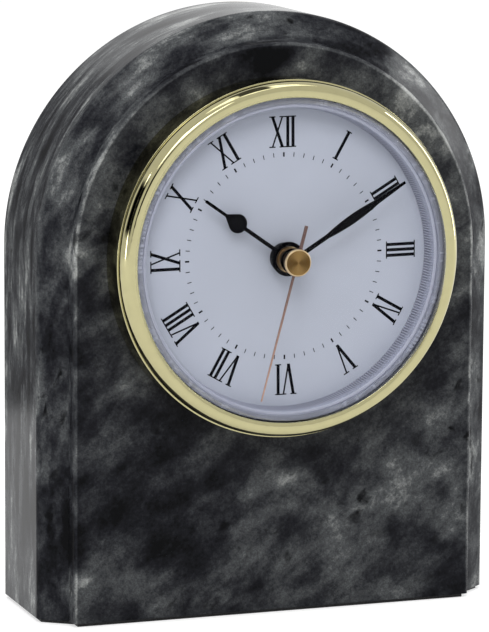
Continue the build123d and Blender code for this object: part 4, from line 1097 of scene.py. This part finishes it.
def softenNode(nodeName, radius, body, slotName, material):
    piece = bpy.data.objects.new("soft_" + nodeName, nodes[nodeName].data.copy())
    bpy.context.scene.collection.objects.link(piece)
    cleanUp(piece, near * 2)
    editMode("FACE")
    bpy.ops.mesh.select_all(action="SELECT")
    bpy.ops.mesh.dissolve_limited(angle_limit=radians(0.5))
    objectMode()
    limits = {"limit_method": "ANGLE", "angle_limit": radians(40)}
    applyModifier(piece, "BEVEL", width=radius * mm, segments=2, **limits)
    smooth(piece, 35, weighted=True)
    finishPiece(piece, "soft_" + nodeName, body, slotName, material, nodeName)


for nodeName, edge in softEdges.items():
    softenNode(nodeName, *edge)
print("small pieces softened")


# Floor, lights and camera
stageShape = {
    "floorSize": 6.0,        # in metres, as all places and sizes here
    "floorTone": 0.6,
    "floorGlow": 0.55,
    "worldLight": 0.72,
    "cardFade": 0.2,         # the share of a card's breadth over which it fades at each edge
    "cards": [               # dark cards that only polished surfaces see: place, aim, size and tone
        ("left_card", (-0.62, 0.0, 0.30), (0, 0, 0.1), (0.95, 0.36), 0.0),
        ("front_left_card", (-0.16, -0.78, 0.20), (0, 0, 0.1), (0.42, 0.3), 0.0),
        ("high_left_card", (-0.3, -0.55, 0.95), (0, 0, 0.1), (0.5, 0.16), 0.2),
        ("high_card", (0.03, 0.2, 0.8), (0.03, 0.2, 0.0), (0.24, 0.8), 0.1),
        ("back_left_card", (-0.15, 0.26, 0.10), (0, 0, 0.08), (0.24, 0.4), 0.3),
    ],
    "lamps": [               # place, aim, size and power
        ("key_lamp", (-0.5, -1.2, 1.2), (0, 0, 0.08), (0.8, 0.8), 10.0),
        ("top_lamp", (0.1, 0.1, 1.5), (0, 0, 0.08), (0.9, 0.9), 6.0),
        ("right_strip", (1.1, -0.05, 0.35), (0, 0, 0.08), (0.2, 0.9), 6.0),
        ("left_strip", (-1.1, -0.1, 0.35), (0, 0, 0.08), (0.12, 0.9), 4.0),
    ],
}


def seenDirectly(tree):  # 1 for what the eye, a mirror or the lens sees, and 0 for the light on things
    rays = place(tree, "ShaderNodeLightPath").outputs
    seen = calculate(tree, "MAXIMUM", rays["Is Camera Ray"], rays["Is Glossy Ray"])
    return calculate(tree, "MAXIMUM", seen, rays["Is Transmission Ray"])


def floorMaterial(shape):  # white to the eye and in polished surfaces, and it still takes the shadow
    material, tree, shader = newMaterial("white_floor")
    shader.inputs["Base Color"].default_value = (*grey(shape["floorTone"]), 1)
    shader.inputs["Roughness"].default_value = 0.9
    shader.inputs["Specular IOR Level"].default_value = 0
    light = place(tree, "ShaderNodeEmission", {"Color": (1, 1, 1, 1)})
    glow = calculate(tree, "MULTIPLY", seenDirectly(tree), shape["floorGlow"])
    tree.links.new(glow, light.inputs["Strength"])
    adder = place(tree, "ShaderNodeAddShader")
    tree.links.new(shader.outputs["BSDF"], adder.inputs[0])
    tree.links.new(light.outputs["Emission"], adder.inputs[1])
    tree.links.new(adder.outputs["Shader"], tree.nodes["Material Output"].inputs["Surface"])
    return material


def cardMaterial(name, tone, fade):  # a dark card with soft edges
    material, tree, shader = newMaterial(name)
    tree.nodes.remove(shader)
    acrossX = calculate(tree, "ABSOLUTE", coordinate(tree, "X"))
    acrossY = calculate(tree, "ABSOLUTE", coordinate(tree, "Y"))
    inputs = {"From Min": 0.5 - fade, "From Max": 0.5, "To Min": 1.0, "To Max": 0.0}
    edge = place(tree, "ShaderNodeMapRange", inputs, interpolation_type="SMOOTHSTEP")
    tree.links.new(calculate(tree, "MAXIMUM", acrossX, acrossY), edge.inputs["Value"])
    clear = place(tree, "ShaderNodeBsdfTransparent")
    dark = place(tree, "ShaderNodeEmission", {"Color": (*grey(tone), 1), "Strength": 1.0})
    showMix(tree, edge.outputs["Result"], clear.outputs["BSDF"], dark.outputs["Emission"])
    return material


def aimed(location, target):
    return (Vector(target) - Vector(location)).to_track_quat("-Z", "Y").to_euler()


def makeCard(fade, name, location, target, size, tone):
    deselectAll()
    bpy.ops.mesh.primitive_plane_add(size=1, location=location, rotation=aimed(location, target))
    card = bpy.context.object
    card.name = name
    card.scale = (*size, 1)
    card.data.materials.append(cardMaterial(name, tone, fade))
    card.visible_camera = False
    card.visible_diffuse = False
    card.visible_transmission = False
    card.visible_shadow = False


def makeStage(shape):
    deselectAll()
    bpy.ops.mesh.primitive_plane_add(size=shape["floorSize"], location=(0, 0, 0))
    floor = bpy.context.object
    floor.name = "studio_floor"
    floor.data.materials.append(floorMaterial(shape))
    world = bpy.data.worlds.new("studio_world")
    bpy.context.scene.world = world
    world.use_nodes = True
    tree = world.node_tree
    background = tree.nodes["Background"]
    background.inputs["Color"].default_value = (1, 1, 1, 1)
    strength = place(tree, "ShaderNodeMapRange", {"To Min": shape["worldLight"], "To Max": 1.0})
    tree.links.new(seenDirectly(tree), strength.inputs["Value"])
    tree.links.new(strength.outputs["Result"], background.inputs["Strength"])
    for card in shape["cards"]:
        makeCard(shape["cardFade"], *card)


def addLamp(name, location, target, size, power):
    light = bpy.data.lights.new(name, "AREA")
    light.shape = "RECTANGLE"
    light.size, light.size_y = size
    light.energy = power
    lamp = bpy.data.objects.new(name, light)
    bpy.context.scene.collection.objects.link(lamp)
    lamp.location = location
    lamp.rotation_euler = aimed(location, target)


makeStage(stageShape)
for lamp in stageShape["lamps"]:
    addLamp(*lamp)


# Camera, fitted to the photograph's ellipses, edges and minute ring
cameraShape = {
    "focalPixels": 3896.28,
    "imageHeight": 632,      # in pixels, along the sensor's longer side
    "sensor": 36.0,
    "azimuth": -19.770,      # degrees round from straight in front, negative to the left
    "elevation": 9.427,
    "roll": 0.373,
    "distance": 998.39,
    "target": (0.0, 10.25, 78.0),
    "shiftRight": -1.428,    # of the target, in the picture's own directions
    "shiftUp": -4.532,
}


def makeCamera(shape):
    azimuth, elevation = radians(shape["azimuth"]), radians(shape["elevation"])
    back = Vector((sin(azimuth) * cos(elevation), -cos(azimuth) * cos(elevation), sin(elevation)))
    right = (-back).cross(Vector((0, 0, 1))).normalized()
    up = right.cross(-back)
    roll = radians(shape["roll"])
    turnedRight = right * cos(roll) + up * sin(roll)
    turnedUp = up * cos(roll) - right * sin(roll)
    shift = turnedRight * shape["shiftRight"] + turnedUp * shape["shiftUp"]
    target = (Vector(shape["target"]) + shift) * mm
    data = bpy.data.cameras.new("photo_camera")
    data.lens = shape["focalPixels"] * shape["sensor"] / shape["imageHeight"]
    data.sensor_width = shape["sensor"]
    data.clip_end = 20
    camera = bpy.data.objects.new("photo_camera", data)
    bpy.context.scene.collection.objects.link(camera)
    axes = Matrix((turnedRight, turnedUp, back)).transposed().to_4x4()
    camera.matrix_world = Matrix.Translation(target + back * shape["distance"] * mm) @ axes
    bpy.context.scene.camera = camera


makeCamera(cameraShape)
bpy.context.scene.view_settings.view_transform = "Standard"
print("stage and camera set")
